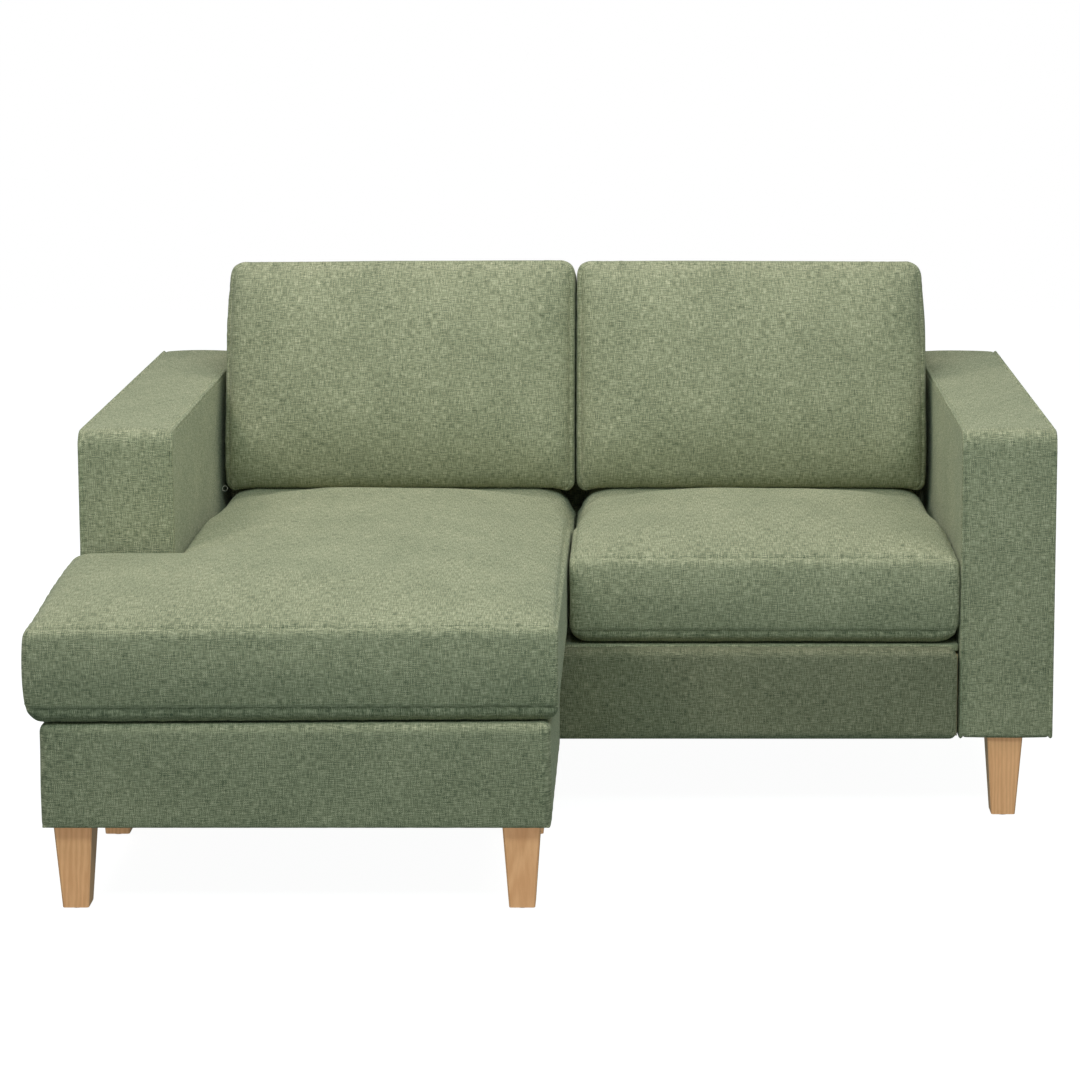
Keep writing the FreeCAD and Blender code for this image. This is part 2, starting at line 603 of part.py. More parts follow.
def ottoman(leg_holes):
    """The box under the chaise, in front of the sofa: timber, webbing, foam, cover and cloth."""
    x, y = OTTOMAN_X, OTTOMAN_Y
    z = ("dims.leg_height", "dims.deck_height")

    def wrap(name, step, low):
        """The ottoman's form drawn in by step, with its upper edges rounded."""
        plan = rectangle(inset(x, step), inset(y, step))
        return prism(name, "XY_Plane", plan, (low, f"({z[1]} - {step})"),
                     f"dims.edge_round - {step}", not_underneath)

    lining = wrap("ottoman_lining", "dims.cover_skin", f"({z[0]} - 1)")
    node("ottoman_cover", cut("ottoman_cover", wrap("ottoman_form", "0", z[0]), lining))
    cloth = prism("ottoman_cloth", "XY_Plane", rectangle(inset(x, SKIN), inset(y, SKIN)),
                  (z[0], RAIL_SPAN[0]), f"dims.edge_round - {SKIN}", upright)
    node("ottoman_dust_cloth", cut("ottoman_dust_cloth", cloth, leg_holes))

    foam_in = f"({SKIN} + dims.ottoman_foam)"
    inner_x, inner_y = inset(x, foam_in), inset(y, foam_in)
    high = f"({z[1]} - {foam_in})"
    hollow = block("ottoman_hollow", inner_x, inner_y, (z[0], high))
    foam = wrap("ottoman_foam", SKIN, RAIL_SPAN[0])
    node("ottoman_padding", cut("ottoman_padding", foam, hollow))

    rail_high = f"({high} - 2 * dims.web_thick)"
    rail_z = (RAIL_SPAN[0], rail_high)
    near, far = inset(inner_y, "dims.ottoman_rail")
    long_rails = [block("ottoman_rail_front", inner_x, (inner_y[0], near), rail_z),
                  block("ottoman_rail_rear", inner_x, (far, inner_y[1]), rail_z)]
    node("ottoman_long_rails", group("ottoman_long_rails", long_rails))
    left, right = inset(inner_x, "dims.ottoman_rail")
    end_rails = [block("ottoman_rail_left", (inner_x[0], left), (near, far), rail_z),
                 block("ottoman_rail_right", (right, inner_x[1]), (near, far), rail_z)]
    node("ottoman_end_rails", group("ottoman_end_rails", end_rails))

    reach = "dims.ottoman_block"
    corner_x = ((left, f"({left} + {reach})"), (f"({right} - {reach})", right))
    corner_y = ((near, f"({near} + {reach})"), (f"({far} - {reach})", far))
    corner_z = (RAIL_SPAN[0], f"({RAIL_SPAN[0]} + {reach})")
    corners = [block(f"ottoman_corner_{across}_{along}", corner_x[along], corner_y[across], corner_z)
               for across in (0, 1) for along in (0, 1)]
    corner_set = group("ottoman_corners", corners)
    node("ottoman_corner_blocks", cut("ottoman_corner_blocks", corner_set, leg_holes))

    lower_web, upper_web = ((rail_high, f"({rail_high} + dims.web_thick)"),
                            (f"({rail_high} + dims.web_thick)", high))
    across_at = middles(inner_x, int(dims.get("ottoman_web_count")))
    along_at = middles(inner_y, int(dims.get("ottoman_cross_count")))
    webs = [block(f"ottoman_web_{number}", about(middle, "dims.web_width"), inner_y, lower_web)
            for number, middle in enumerate(across_at, 1)]
    webs += [block(f"ottoman_cross_web_{number}", inner_x, about(middle, "dims.web_width"), upper_web)
             for number, middle in enumerate(along_at, 1)]
    node("ottoman_webbing", group("ottoman_webbing", webs))


# ---- cushions ----

def cushion(name, role, plan, span, radius):
    """A foam core in a woven cover; plan gives the outline drawn in by a step."""
    outer = prism(name + "_form", role, plan("0"), span, radius, every_edge)
    lining = prism(name + "_lining", role, plan("dims.cover_skin"), inset(span, "dims.cover_skin"),
                   f"{radius} - dims.cover_skin", every_edge)
    node(name + "_cover", cut(name + "_cover", outer, lining))
    node(name + "_core", prism(name + "_core", role, plan(SKIN), inset(span, SKIN),
                               f"{radius} - {SKIN}", every_edge))


def seat_cushion_plan(step):
    """The seat cushion's rectangle, on the right."""
    return rectangle(inset(SEAT_CUSHION_X, step), inset((ARM_FRONT, CUSHION_REAR), step))


def chaise_cushion_plan(step):
    """The chaise cushion's L: narrow beside the arm, out to the arm's outer face in front of it."""
    left, right = inset((f"(-{SIDE})", "(-dims.middle_gap / 2)"), step)
    front, rear = inset((CHAISE_FRONT, CUSHION_REAR), step)
    beside_arm = f"(-{SEAT_CUSHION_X[1]} + {step})"
    before_arm = f"({ARM_FRONT} - dims.chaise_arm_gap - {step})"
    return [(left, front), (right, front), (right, rear), (beside_arm, rear),
            (beside_arm, before_arm), (left, before_arm)]


def back_cushion_front(height):
    """Y of a back cushion's front face at a height: it leans as the back does, just clear of it."""
    return f"({back_face(height)} - dims.back_cushion_gap - dims.back_cushion_deep)"


def back_cushion_plan(step):
    """A back cushion from the side: level underneath, leaning, and square across its top."""
    low, top, slope = f"({BACK_CUSHION_LOW} + {step})", "dims.back_cushion_top", "dims.back_slope"
    deep = "dims.back_cushion_deep"
    top_front = (f"({back_cushion_front(top)} + {step} * (1 - {slope}) / {SLANT})",
                 f"({top} - {step} * (1 + {slope}) / {SLANT})")
    rear_y = f"({back_cushion_front(top)} + {deep} / {SLANT} ^ 2)"
    rear_z = f"({top} - {deep} * {slope} / {SLANT} ^ 2)"
    top_rear = (f"({rear_y} - {step} * (1 + {slope}) / {SLANT})",
                f"({rear_z} - {step} * (1 - {slope}) / {SLANT})")
    return [(f"({back_cushion_front(low)} + {step} * {SLANT})", low),
            (f"({back_cushion_front(low)} + {deep} - {step} * {SLANT})", low), top_rear, top_front]


def zip_slider(name, tunnel, channel, pull_plate, pull_bore):
    """A slider with its pull: a block with a channel that clears the coil, and a drilled plate."""
    node(name, fuse(name, [cut(name + "_tunnel", tunnel, channel),
                           cut(name + "_pull", pull_plate, pull_bore)]))


def rear_zip(prefix, cushion_x):
    """A zip across the rear of a seat cushion, with its slider at the left end."""
    level = f"(({CUSHION_LOW} + {CUSHION_HIGH}) / 2)"
    x = inset(cushion_x, "dims.seat_zip_end")
    tape_y = (CUSHION_REAR, f"({CUSHION_REAR} + dims.tape_thick)")
    coil_y = (tape_y[1], f"({CUSHION_REAR} + dims.coil_tall)")
    tape = block(prefix + "_tape_strip", x, tape_y, about(level, "dims.tape_width"))
    coil = block(prefix + "_coil", x, coil_y, about(level, "dims.coil_width"))
    node(prefix + "_tape", fuse(prefix + "_zip_tape", [tape, coil]))
    slider_x = (x[0], f"({x[0]} + dims.slider_long)")
    slider_y = (f"({tape_y[1]} + dims.slider_play)", f"({CUSHION_REAR} + dims.slider_tall)")
    tunnel = block(prefix + "_slider_block", slider_x, slider_y, about(level, "dims.slider_wide"))
    channel = block(prefix + "_slider_channel", inset(slider_x, "-1"),
                    (f"({slider_y[0]} - 1)", f"({coil_y[1]} + dims.slider_play)"),
                    about(level, "(dims.coil_width + 2 * dims.slider_play)"))
    slider_middle = f"({slider_x[0]} + dims.slider_long / 2)"
    pull_y = (slider_y[1], f"({slider_y[1]} + dims.pull_thick)")
    pull_low = f"({level} - dims.pull_long)"
    plate = block(prefix + "_pull_plate", about(slider_middle, "dims.pull_wide"), pull_y,
                  (pull_low, level))
    bore_start = (slider_middle, f"{pull_y[1]} + 1", f"{pull_low} + dims.pull_wide / 2")
    bore = rod(prefix + "_pull_bore", bore_start, "dims.pull_thick + 2", "dims.pull_hole",
               FreeCAD.Rotation(FreeCAD.Vector(1, 0, 0), 90))
    zip_slider(prefix + "_slider", tunnel, channel, plate, bore)


def side_zip(prefix, sign):
    """A zip up the outer side of a back cushion, with its slider at the foot."""
    face = f"({INNER} - dims.back_side_gap)"
    low = f"({BACK_CUSHION_LOW} + dims.back_round + dims.slider_long)"

    def layer(near, far):
        """The X span between two distances off the cushion's side."""
        return on_side(sign, (f"({face} + {near})", f"({face} + {far})"))

    def strip(name, width, z, x):
        """A strip that leans with the cushion, about the middle line of its side."""
        corners = []
        for height, way in ((z[0], -1), (z[0], 1), (z[1], 1), (z[1], -1)):
            middle = f"({back_cushion_front(height)} + dims.back_cushion_deep / 2)"
            corners.append((f"({middle} + {way} * {width} / 2)", height))
        return prism(name, "YZ_Plane", corners, x)

    z = (low, "(dims.back_cushion_top - dims.back_zip_end)")
    tape = strip(prefix + "_tape_strip", "dims.tape_width", z, layer("0", "dims.tape_thick"))
    coil = strip(prefix + "_coil", "dims.coil_width", z, layer("dims.tape_thick", "dims.coil_tall"))
    node(prefix + "_tape", fuse(prefix + "_zip_tape", [tape, coil]))
    slider_z = (low, f"({low} + dims.slider_long)")
    tunnel = strip(prefix + "_slider_block", "dims.slider_wide", slider_z,
                   layer("(dims.tape_thick + dims.slider_play)", "dims.slider_tall"))
    channel = strip(prefix + "_slider_channel", "(dims.coil_width + 2 * dims.slider_play)",
                    inset(slider_z, "-1"), layer("0", "(dims.coil_tall + dims.slider_play)"))
    middle = f"({back_cushion_front(low)} + dims.back_cushion_deep / 2)"
    pull_z = (f"({slider_z[1]} - dims.pull_long)", slider_z[1])
    pull_x = layer("dims.slider_tall", "(dims.slider_tall + dims.pull_thick)")
    plate = block(prefix + "_pull_plate", pull_x, about(middle, "dims.pull_wide"), pull_z)
    bore_start = (f"{sign} * ({face} + dims.slider_tall - 1)", middle,
                  f"{pull_z[0]} + dims.pull_wide / 2")
    bore = rod(prefix + "_pull_bore", bore_start, "dims.pull_thick + 2", "dims.pull_hole",
               FreeCAD.Rotation(FreeCAD.Vector(0, 1, 0), 90 * sign))
    zip_slider(prefix + "_slider", tunnel, channel, plate, bore)


def cushions():
    """The seat cushion, the chaise cushion and the two back cushions, each with its zip."""
    seat_span = (CUSHION_LOW, CUSHION_HIGH)
    cushion("seat_cushion", "XY_Plane", seat_cushion_plan, seat_span, "dims.seat_round")
    rear_zip("seat_zip", SEAT_CUSHION_X)
    cushion("chaise_cushion", "XY_Plane", chaise_cushion_plan, seat_span, "dims.seat_round")
    rear_zip("chaise_zip", on_side(-1, SEAT_CUSHION_X))
    for side, sign in SIDES:
        span = on_side(sign, ("(dims.middle_gap / 2)", f"({INNER} - dims.back_side_gap)"))
        cushion(f"back_cushion_{side}", "YZ_Plane", back_cushion_plan, span, "dims.back_round")
        side_zip(f"back_zip_{side}", sign)


# ---- the whole sofa ----

def build():
    """Make every sub-part in the document."""
    frame_holes = frame_bolts()
    leg_holes = legs("sofa_", sofa_leg_places())
    for side, sign in SIDES:
        arm(side, sign, frame_holes, leg_holes)
    seat(frame_holes)
    back(frame_holes)
    ottoman(legs("ottoman_", ottoman_leg_places()))
    cushions()
    doc.recompute()


def check():
    """Stop if any object failed, or if a sub-part has no good shape."""
    failed = [item.Name for item in doc.Objects if {"Invalid", "Error"} & set(item.State)]
    if failed:
        raise RuntimeError(f"objects that failed: {failed}")
    for item in nodes:
        if item.Shape.isNull() or not item.Shape.isValid() or not item.Shape.Solids:
            raise RuntimeError(f"{item.Label} has no valid solid")


def export():
    """Write one file for each sub-part."""
    os.makedirs("parts", exist_ok=True)
    for item in nodes:
        item.Shape.exportStep(f"parts/{item.Label}.step")
        print(item.Label, len(item.Shape.Solids), round(item.Shape.Volume))


build()
check()
export()
print(len(nodes), "sub-parts")
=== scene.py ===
import json
import math

import bpy
import numpy as np
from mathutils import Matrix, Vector


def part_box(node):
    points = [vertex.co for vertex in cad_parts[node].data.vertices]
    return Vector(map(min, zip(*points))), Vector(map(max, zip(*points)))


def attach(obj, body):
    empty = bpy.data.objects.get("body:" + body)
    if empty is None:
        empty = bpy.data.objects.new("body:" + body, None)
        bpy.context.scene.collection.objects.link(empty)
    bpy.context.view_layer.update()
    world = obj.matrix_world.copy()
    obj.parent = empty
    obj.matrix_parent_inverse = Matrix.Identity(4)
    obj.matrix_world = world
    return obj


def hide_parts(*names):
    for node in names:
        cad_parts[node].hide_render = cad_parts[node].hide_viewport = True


# Looks of the two-seat sofa with a chaise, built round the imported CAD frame. Metres, +Z up, -Y front.
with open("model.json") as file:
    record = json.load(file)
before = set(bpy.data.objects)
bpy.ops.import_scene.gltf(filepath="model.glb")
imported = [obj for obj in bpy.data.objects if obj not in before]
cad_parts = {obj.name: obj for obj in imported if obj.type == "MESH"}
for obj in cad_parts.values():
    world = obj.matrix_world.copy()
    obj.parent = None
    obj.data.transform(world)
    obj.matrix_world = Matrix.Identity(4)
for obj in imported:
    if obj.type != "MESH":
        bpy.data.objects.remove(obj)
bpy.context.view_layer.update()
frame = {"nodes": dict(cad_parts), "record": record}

# ---- sizes of the upholstery (metres) ----
CREASE = (0, .0015, .004, .0075, .012, .018, .026, .036, .048)  # mesh lines beside a seam
MESH_STEP, WIDE_STEP = .014, .022                # of the mesh in cushions, and in the taut covers
SEAT_SEAM_LOW, SEAT_SEAM_HIGH = .0260, .0135   # seams of a seat cushion from its CAD floor and top
SEAT_CROWN, SEAT_DOME = .022, .008              # how far the top stands out of its seam, and its slow rise
SEAT_EDGE, BACK_EDGE = .008, .009               # inset of the seams from a cushion's sides
CRUSH_AT, CRUSH_OVER = .240, .050               # where the back cushions press the seats, and the run up to it
STITCH_LONG, STITCH_PITCH, STITCH_RADIUS = .0030, .0046, .00042
STITCH_ROW, SEAT_STITCH_ROW = .0040, .006       # of the topstitching from its seam
SWELL = .022                                    # the most that a cushion's cloth may move
CLEAR = .0008                                   # least gap kept to a neighbour
BETWEEN = .0022                                 # each seat cushion from the middle plane


# ---- small helpers ----

def new_object(name, verts, faces, uvs=None, smooth=True):
    """A mesh object from arrays; uvs holds one (u, v) for each face corner."""
    mesh = bpy.data.meshes.new(name)
    mesh.from_pydata([tuple(v) for v in verts], [], [tuple(f) for f in faces])
    if uvs is not None:
        layer = mesh.uv_layers.new(name="weave")
        layer.data.foreach_set("uv", np.asarray(uvs, np.float32).ravel())
    mesh.polygons.foreach_set("use_smooth", [smooth] * len(mesh.polygons))
    mesh.update()
    obj = bpy.data.objects.new(name, mesh)
    bpy.context.scene.collection.objects.link(obj)
    return obj


def coords(mesh):
    flat = np.zeros(len(mesh.vertices) * 3, np.float32)
    mesh.vertices.foreach_get("co", flat)
    return flat.reshape(-1, 3).astype(float)


def set_coords(mesh, points):
    mesh.vertices.foreach_set("co", np.asarray(points, np.float32).ravel())
    mesh.update()


def normals(mesh):
    flat = np.zeros(len(mesh.vertices) * 3, np.float32)
    mesh.vertices.foreach_get("normal", flat)
    return flat.reshape(-1, 3).astype(float)


def smoothstep(t):
    t = np.clip(t, 0, 1)
    return t * t * (3 - 2 * t)


def shoulder(t):
    """0 at a seam, rising steeply and levelling out at 1."""
    return (1 - (1 - np.clip(t, 0, 1)) ** 2) ** .56


def seam_lines(*stops, step=MESH_STEP):
    """Grid lines from the first stop to the last, close together at every stop."""
    lines = []
    for low, high in zip(stops, stops[1:]):
        span = high - low
        fine = [gap for gap in CREASE if gap < .35 * span]
        count = max(1, round((span - 2 * fine[-1]) / step))
        middle = np.linspace(fine[-1], span - fine[-1], count + 1)
        segment = fine[:-1] + list(middle) + [span - gap for gap in reversed(fine[:-1])]
        lines += [low + at for at in segment[:-1]]
    return np.array(lines + [stops[-1]])


def ripple(along, seed, waves=(.015, .024, .037, .061)):
    """A smooth irregular wave along a seam, about -1 to 1."""
    phases = np.random.default_rng(seed).uniform(0, 2 * math.pi, len(waves))
    total = sum(np.sin(2 * math.pi * along / wave + phase) for wave, phase in zip(waves, phases))
    return total / len(waves) ** .5


# ---- a boxed form: two panels joined by a border, with a seam at each rim ----

class Boxed:
    """Upholstery cut as two panels and a border. Its own axes are a and b across the panels and w through them.

    size is (a, b, w); rims gives the inset of each seam in w. A bite is the corner that an L leaves out:
    the cells with a below bite[0] and b above bite[1]. corners gives the plan's rounding, one radius for
    each corner in the order low-low, high-low, high-high, low-high. crowns gives for each panel how far it
    stands out and over what reach it rises from its seam: one reach, or those of the sides low a, high a,
    low b, high b and the bite. edge is the inset of the seams, flare how much less the low one is inset,
    turn how soon the border is at its full width."""

    def __init__(self, name, size, place, rims=(0, 0), edge=.008, turn=.018, bulge=.006, flare=0.0,
                 crowns=((.02, .08), (.02, .08)), domes=(0, 0), corners=(.03,) * 4, bite=None, step=MESH_STEP):
        self.name, self.size, self.place = name, size, place
        self.rims, self.edge, self.turn, self.bulge, self.flare = rims, edge, turn, bulge, flare
        self.crowns, self.domes, self.corners, self.bite = crowns, domes, corners, bite
        stops_a, stops_b = [edge, size[0] - edge], [edge, size[1] - edge]
        if bite:
            stops_a.insert(1, bite[0] + edge)
            stops_b.insert(1, bite[1] - edge)
        self.a, self.b = seam_lines(*stops_a, step=step), seam_lines(*stops_b, step=step)
        self.w = seam_lines(rims[0], size[2] - rims[1], step=step)
        self.build()

    def kept(self, i, j):
        """Whether the cell between lines i, i + 1 and j, j + 1 belongs to the panels."""
        if not self.bite:
            return True
        middle_a, middle_b = (self.a[i] + self.a[i + 1]) / 2, (self.b[j] + self.b[j + 1]) / 2
        return middle_a > self.bite[0] + self.edge or middle_b < self.bite[1] - self.edge

    def rounded(self, plan):
        """Plan points with the outline's convex corners turned."""
        plan = plan.copy()
        low = np.array([self.edge, self.edge])
        high = np.array(self.size[:2]) - self.edge
        ends = [((0, 0), self.corners[0]), ((1, 0), self.corners[1]), ((1, 1), self.corners[2])]
        spots = [(np.where(end, high, low), np.where(end, 1, -1), radius) for end, radius in ends]
        if self.bite:
            inner = np.array([self.bite[0] + self.edge, self.bite[1] - self.edge])
            spots.append((np.array([inner[0], high[1]]), np.array([-1, 1]), self.corners[3]))
            spots.append((np.array([low[0], inner[1]]), np.array([-1, 1]), self.corners[3]))
        else:
            spots.append((np.array([low[0], high[1]]), np.array([-1, 1]), self.corners[3]))
        for corner, way, radius in spots:
            radius = max(radius - self.edge, .003)
            inside = (plan - (corner - way * radius)) * way / radius
            near = (inside > 0).all(1) & (inside <= 1.0001).all(1)
            p, q = inside[near, 0], inside[near, 1]
            turned = np.stack([p * np.sqrt(1 - q * q / 2), q * np.sqrt(1 - p * p / 2)], 1)
            plan[near] = corner - way * radius + turned * way * radius
        return plan

    def clear_of_bite(self, plan):
        """How far plan points lie from the bite's seam; far away where there is none."""
        if not self.bite:
            return np.full(len(plan), 9.0)
        past_a = np.maximum(plan[:, 0] - self.bite[0] - self.edge, 0)
        past_b = np.maximum(self.bite[1] - self.edge - plan[:, 1], 0)
        return np.hypot(past_a, past_b)

    def crown(self, plan, which):
        """How far a panel stands out of its rim at plan points."""
        height, reach = self.crowns[which]
        reach = reach if isinstance(reach, tuple) else (reach,) * 5
        low, high = self.edge, np.array(self.size[:2]) - self.edge
        rise = shoulder(self.clear_of_bite(plan) / reach[-1])
        dome = np.ones(len(plan))
        for axis in (0, 1):
            near, far = reach[2 * axis:2 * axis + 2]
            rise *= shoulder((plan[:, axis] - low) / near) * shoulder((high[axis] - plan[:, axis]) / far)
            dome *= np.sin(math.pi * np.clip((plan[:, axis] - low) / (high[axis] - low), 0, 1))
        return height * rise + self.domes[which] * dome * smoothstep(self.clear_of_bite(plan) / .3)

    def outline(self):
        """The grid nodes round the panels, anticlockwise."""
        follows = {}
        cells = {(i, j) for i in range(len(self.a) - 1) for j in range(len(self.b) - 1) if self.kept(i, j)}
        for i, j in cells:
            for (di, dj), start, end in (((0, -1), (i, j), (i + 1, j)), ((1, 0), (i + 1, j), (i + 1, j + 1)),
                                         ((0, 1), (i + 1, j + 1), (i, j + 1)), ((-1, 0), (i, j + 1), (i, j))):
                if (i + di, j + dj) not in cells:
                    follows[start] = end
        node = (len(self.a) // 2, len(self.b) - 1)
        ring = [node]
        while follows[node] != ring[0]:
            node = follows[node]
            ring.append(node)
        return cells, ring

    def build(self):
        cells, ring = self.outline()
        used = sorted({(i + di, j + dj) for i, j in cells for di in (0, 1) for dj in (0, 1)})
        number = {node: index for index, node in enumerate(used)}
        flat = np.array([(self.a[i], self.b[j]) for i, j in used])
        plan = self.rounded(flat)
        count = len(used)
        w_low, w_high = self.w[0], self.w[-1]
        middle = np.array(self.size[:2]) / 2
        flared = middle + (plan - middle) * (1 + self.flare / middle)
        panels = [np.column_stack([flared, w_low - self.crown(flat, 0)]),
                  np.column_stack([plan, w_high + self.crown(flat, 1)])]

        ring_ids = np.array([number[node] for node in ring])
        rim = plan[ring_ids]
        tangent = np.roll(rim, -1, 0) - np.roll(rim, 1, 0)
        tangent /= np.linalg.norm(tangent, axis=1, keepdims=True) + 1e-12
        outward = np.column_stack([tangent[:, 1], -tangent[:, 0]])
        run = np.concatenate([[0], np.cumsum(np.linalg.norm(np.roll(rim, -1, 0) - rim, axis=1))])
        slack = np.ones(len(ring))
        if self.bite:
            inner = np.array([self.bite[0] + self.edge, self.bite[1] - self.edge])
            slack = smoothstep(np.linalg.norm(rim - inner, axis=1) / (3.5 * self.edge))
        rows = [ring_ids]
        verts = [panels[0], panels[1]]
        for row, w in enumerate(self.w[1:-1]):
            near = min(w - w_low, w_high - w)
            swell = self.bulge * math.sin(math.pi * (w - w_low) / (w_high - w_low)) ** .8
            start = self.flare if w - w_low < w_high - w else 0
            off = (start + (self.edge - start) * float(shoulder(near / self.turn)) + swell) * slack
            verts.append(np.column_stack([rim + outward * off[:, None], np.full(len(ring), w)]))
            rows.append(2 * count + row * len(ring) + np.arange(len(ring)))
        rows.append(ring_ids + count)
        self.rows = rows
        local = np.concatenate(verts)

        faces, uvs = [], []
        for i, j in sorted(cells):
            quad = [number[i, j], number[i + 1, j], number[i + 1, j + 1], number[i, j + 1]]
            faces += [quad[::-1], [index + count for index in quad]]
            uvs += [plan[index] for index in quad[::-1]] + [plan[index] + .37 for index in quad]
        for row in range(len(rows) - 1):
            for at in range(len(ring)):
                after = (at + 1) % len(ring)
                faces.append([rows[row][at], rows[row][after], rows[row + 1][after], rows[row + 1][at]])
                s0, s1, w0, w1 = run[at], run[at + 1], self.w[row], self.w[row + 1]
                uvs += [(s0, w0), (s1, w0), (s1, w1), (s0, w1)]
        self.local = local
        self.seam_distance(plan, flat, rim, run, count, len(ring))
        self.obj = new_object(self.name, self.place(local), faces, uvs)
        self.fix_normals()

    def seam_distance(self, plan, flat, rim, run, count, ring_count):
        """For each vertex, how far it is from the nearest seam and where along it."""
        nearest = np.array([np.argmin(((rim - point) ** 2).sum(1)) for point in plan])
        gap = np.linalg.norm(rim[nearest] - plan, axis=1)
        border = np.minimum(self.w[1:-1] - self.w[0], self.w[-1] - self.w[1:-1])
        self.gap = np.concatenate([gap, gap, np.repeat(border, ring_count)])
        self.along = np.concatenate([run[nearest], run[nearest], np.tile(run[:-1], len(border))])
        self.part = np.concatenate([np.zeros(count), np.ones(count), np.full(len(border) * ring_count, 2)])
        self.border = (self.part == 2).astype(float)

    def fix_normals(self):
        """Turn the faces outwards where the placing mirrors the form."""
        mesh = self.obj.data
        mesh.calc_loop_triangles()
        points = coords(mesh)
        corner = np.array([t.vertices[:] for t in mesh.loop_triangles])
        one, two, three = (points[corner[:, k]] for k in range(3))
        if (one * np.cross(two, three)).sum() < 0:
            mesh.flip_normals()

    def reshape(self, change):
        set_coords(self.obj.data, change(coords(self.obj.data)))

    def line(self, row):
        """World points and normals round one border row."""
        points, directions = coords(self.obj.data)[self.rows[row]], normals(self.obj.data)[self.rows[row]]
        return points, directions


# ---- stuffing: cloth under pressure, then puckers beside the seams ----

def inflate(form, held, most, keep, pressure=4.0, frames=20):
    """Swell a cushion as cloth under pressure; held is each vertex's grip, most caps how far it may move."""
    obj, before = form.obj, coords(form.obj.data)
    group = obj.vertex_groups.new(name="held")
    for weight in np.unique(np.round(held, 1)):
        members = np.flatnonzero(np.round(held, 1) == weight)
        if weight > 0:
            group.add([int(index) for index in members], float(weight), "REPLACE")
    cloth = obj.modifiers.new("stuffing", "CLOTH")
    cloth.settings.quality = 6
    cloth.settings.mass = .3
    cloth.settings.tension_stiffness = 12
    cloth.settings.compression_stiffness = 12
    cloth.settings.shear_stiffness = 4
    cloth.settings.bending_stiffness = .6
    cloth.settings.use_pressure = True
    cloth.settings.uniform_pressure_force = pressure
    cloth.settings.vertex_group_mass = "held"
    cloth.settings.pin_stiffness = 1
    cloth.settings.effector_weights.gravity = 0
    cloth.collision_settings.use_collision = False
    for number in range(1, frames + 1):
        bpy.context.scene.frame_set(number)
    settled = obj.evaluated_get(bpy.context.evaluated_depsgraph_get())
    after = coords(settled.data)
    obj.modifiers.remove(cloth)
    obj.vertex_groups.remove(group)
    bpy.context.scene.frame_set(1)
    move = after - before
    length = np.linalg.norm(move, axis=1, keepdims=True)
    set_coords(obj.data, keep(before + move * np.minimum(1, most / np.maximum(length, 1e-9))))


def refine(form, pucker=0.0, reach=.020, sag=0.0, groove=.0007, fell=0.0, seed=1, keep=None):
    """One subdivision, then puckers beside the seams, the seams' grooves and slow unevenness over the panels.

    fell is how far the border's turned-in allowance lifts the cloth beside its seam."""
    obj = form.obj
    for name, values in (("gap", form.gap), ("along", form.along), ("border", form.border)):
        attribute = obj.data.attributes.new(name, "FLOAT", "POINT")
        attribute.data.foreach_set("value", np.asarray(values, np.float32))
    modifier = obj.modifiers.new("smooth", "SUBSURF")
    modifier.levels = modifier.render_levels = 1
    fine = bpy.data.meshes.new_from_object(obj.evaluated_get(bpy.context.evaluated_depsgraph_get()))
    obj.modifiers.remove(modifier)
    form.coarse = obj.data
    obj.data = fine
    fine.name = form.name
    values = {}
    for name in ("gap", "along", "border"):
        data = np.zeros(len(fine.vertices), np.float32)
        fine.attributes[name].data.foreach_get("value", data)
        values[name] = data.astype(float)
        fine.attributes.remove(fine.attributes[name])
    points, out = coords(fine), normals(fine)
    fade = np.exp(-(values["gap"] / reach) ** 2) * np.clip(values["gap"] / .003, .15, 1)
    lift = pucker * fade * ripple(values["along"], seed)
    slow = sum(np.sin(points @ np.array(wave) + phase) for wave, phase in
               (((21, 13, 9), seed), ((-15, 26, 11), 2.1 * seed), ((9, -17, 31), 3.7 * seed))) / 3
    lift += sag * slow * np.clip(values["gap"] / .06, 0, 1)
    lift -= groove * np.exp(-(values["gap"] / .0016) ** 2)
    ridge = smoothstep(values["gap"] / .0015) * smoothstep((.0068 - values["gap"]) / .002)
    lift += fell * values["border"] * (ridge - .7 * np.exp(-((values["gap"] - .0078) / .0016) ** 2))
    points = points + out * lift[:, None]
    set_coords(fine, points if keep is None else keep(points))


def beads(name, places, long, wide, body, slot, sides=5):
    """One object of many small rods. places holds a middle, a direction along and a direction out for each."""
    rings = ((-.5, .35), (-.25, .95), (.25, .95), (.5, .35))
    turns = [(math.cos(2 * math.pi * k / sides), math.sin(2 * math.pi * k / sides)) for k in range(sides)]
    verts, faces = [], []
    for middle, way, out in places:
        way = way / (np.linalg.norm(way) + 1e-12)
        out = out - way * out.dot(way)
        out = out / (np.linalg.norm(out) + 1e-12)
        side, base = np.cross(way, out), len(verts)
        verts += [middle + way * long * at + (out * c + side * d) * wide * fat
                  for at, fat in rings for c, d in turns]
        faces += [(base + r * sides + k, base + r * sides + (k + 1) % sides,
                   base + (r + 1) * sides + (k + 1) % sides, base + (r + 1) * sides + k)
                  for r in range(len(rings) - 1) for k in range(sides)]
        faces += [tuple(base + k for k in reversed(range(sides))),
                  tuple(base + (len(rings) - 1) * sides + k for k in range(sides))]
    obj = new_object(name, verts, faces)
    obj.data.materials.append(THREAD if slot == "cover_fabric" else MATERIALS[slot])
    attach(obj, body)
    return obj


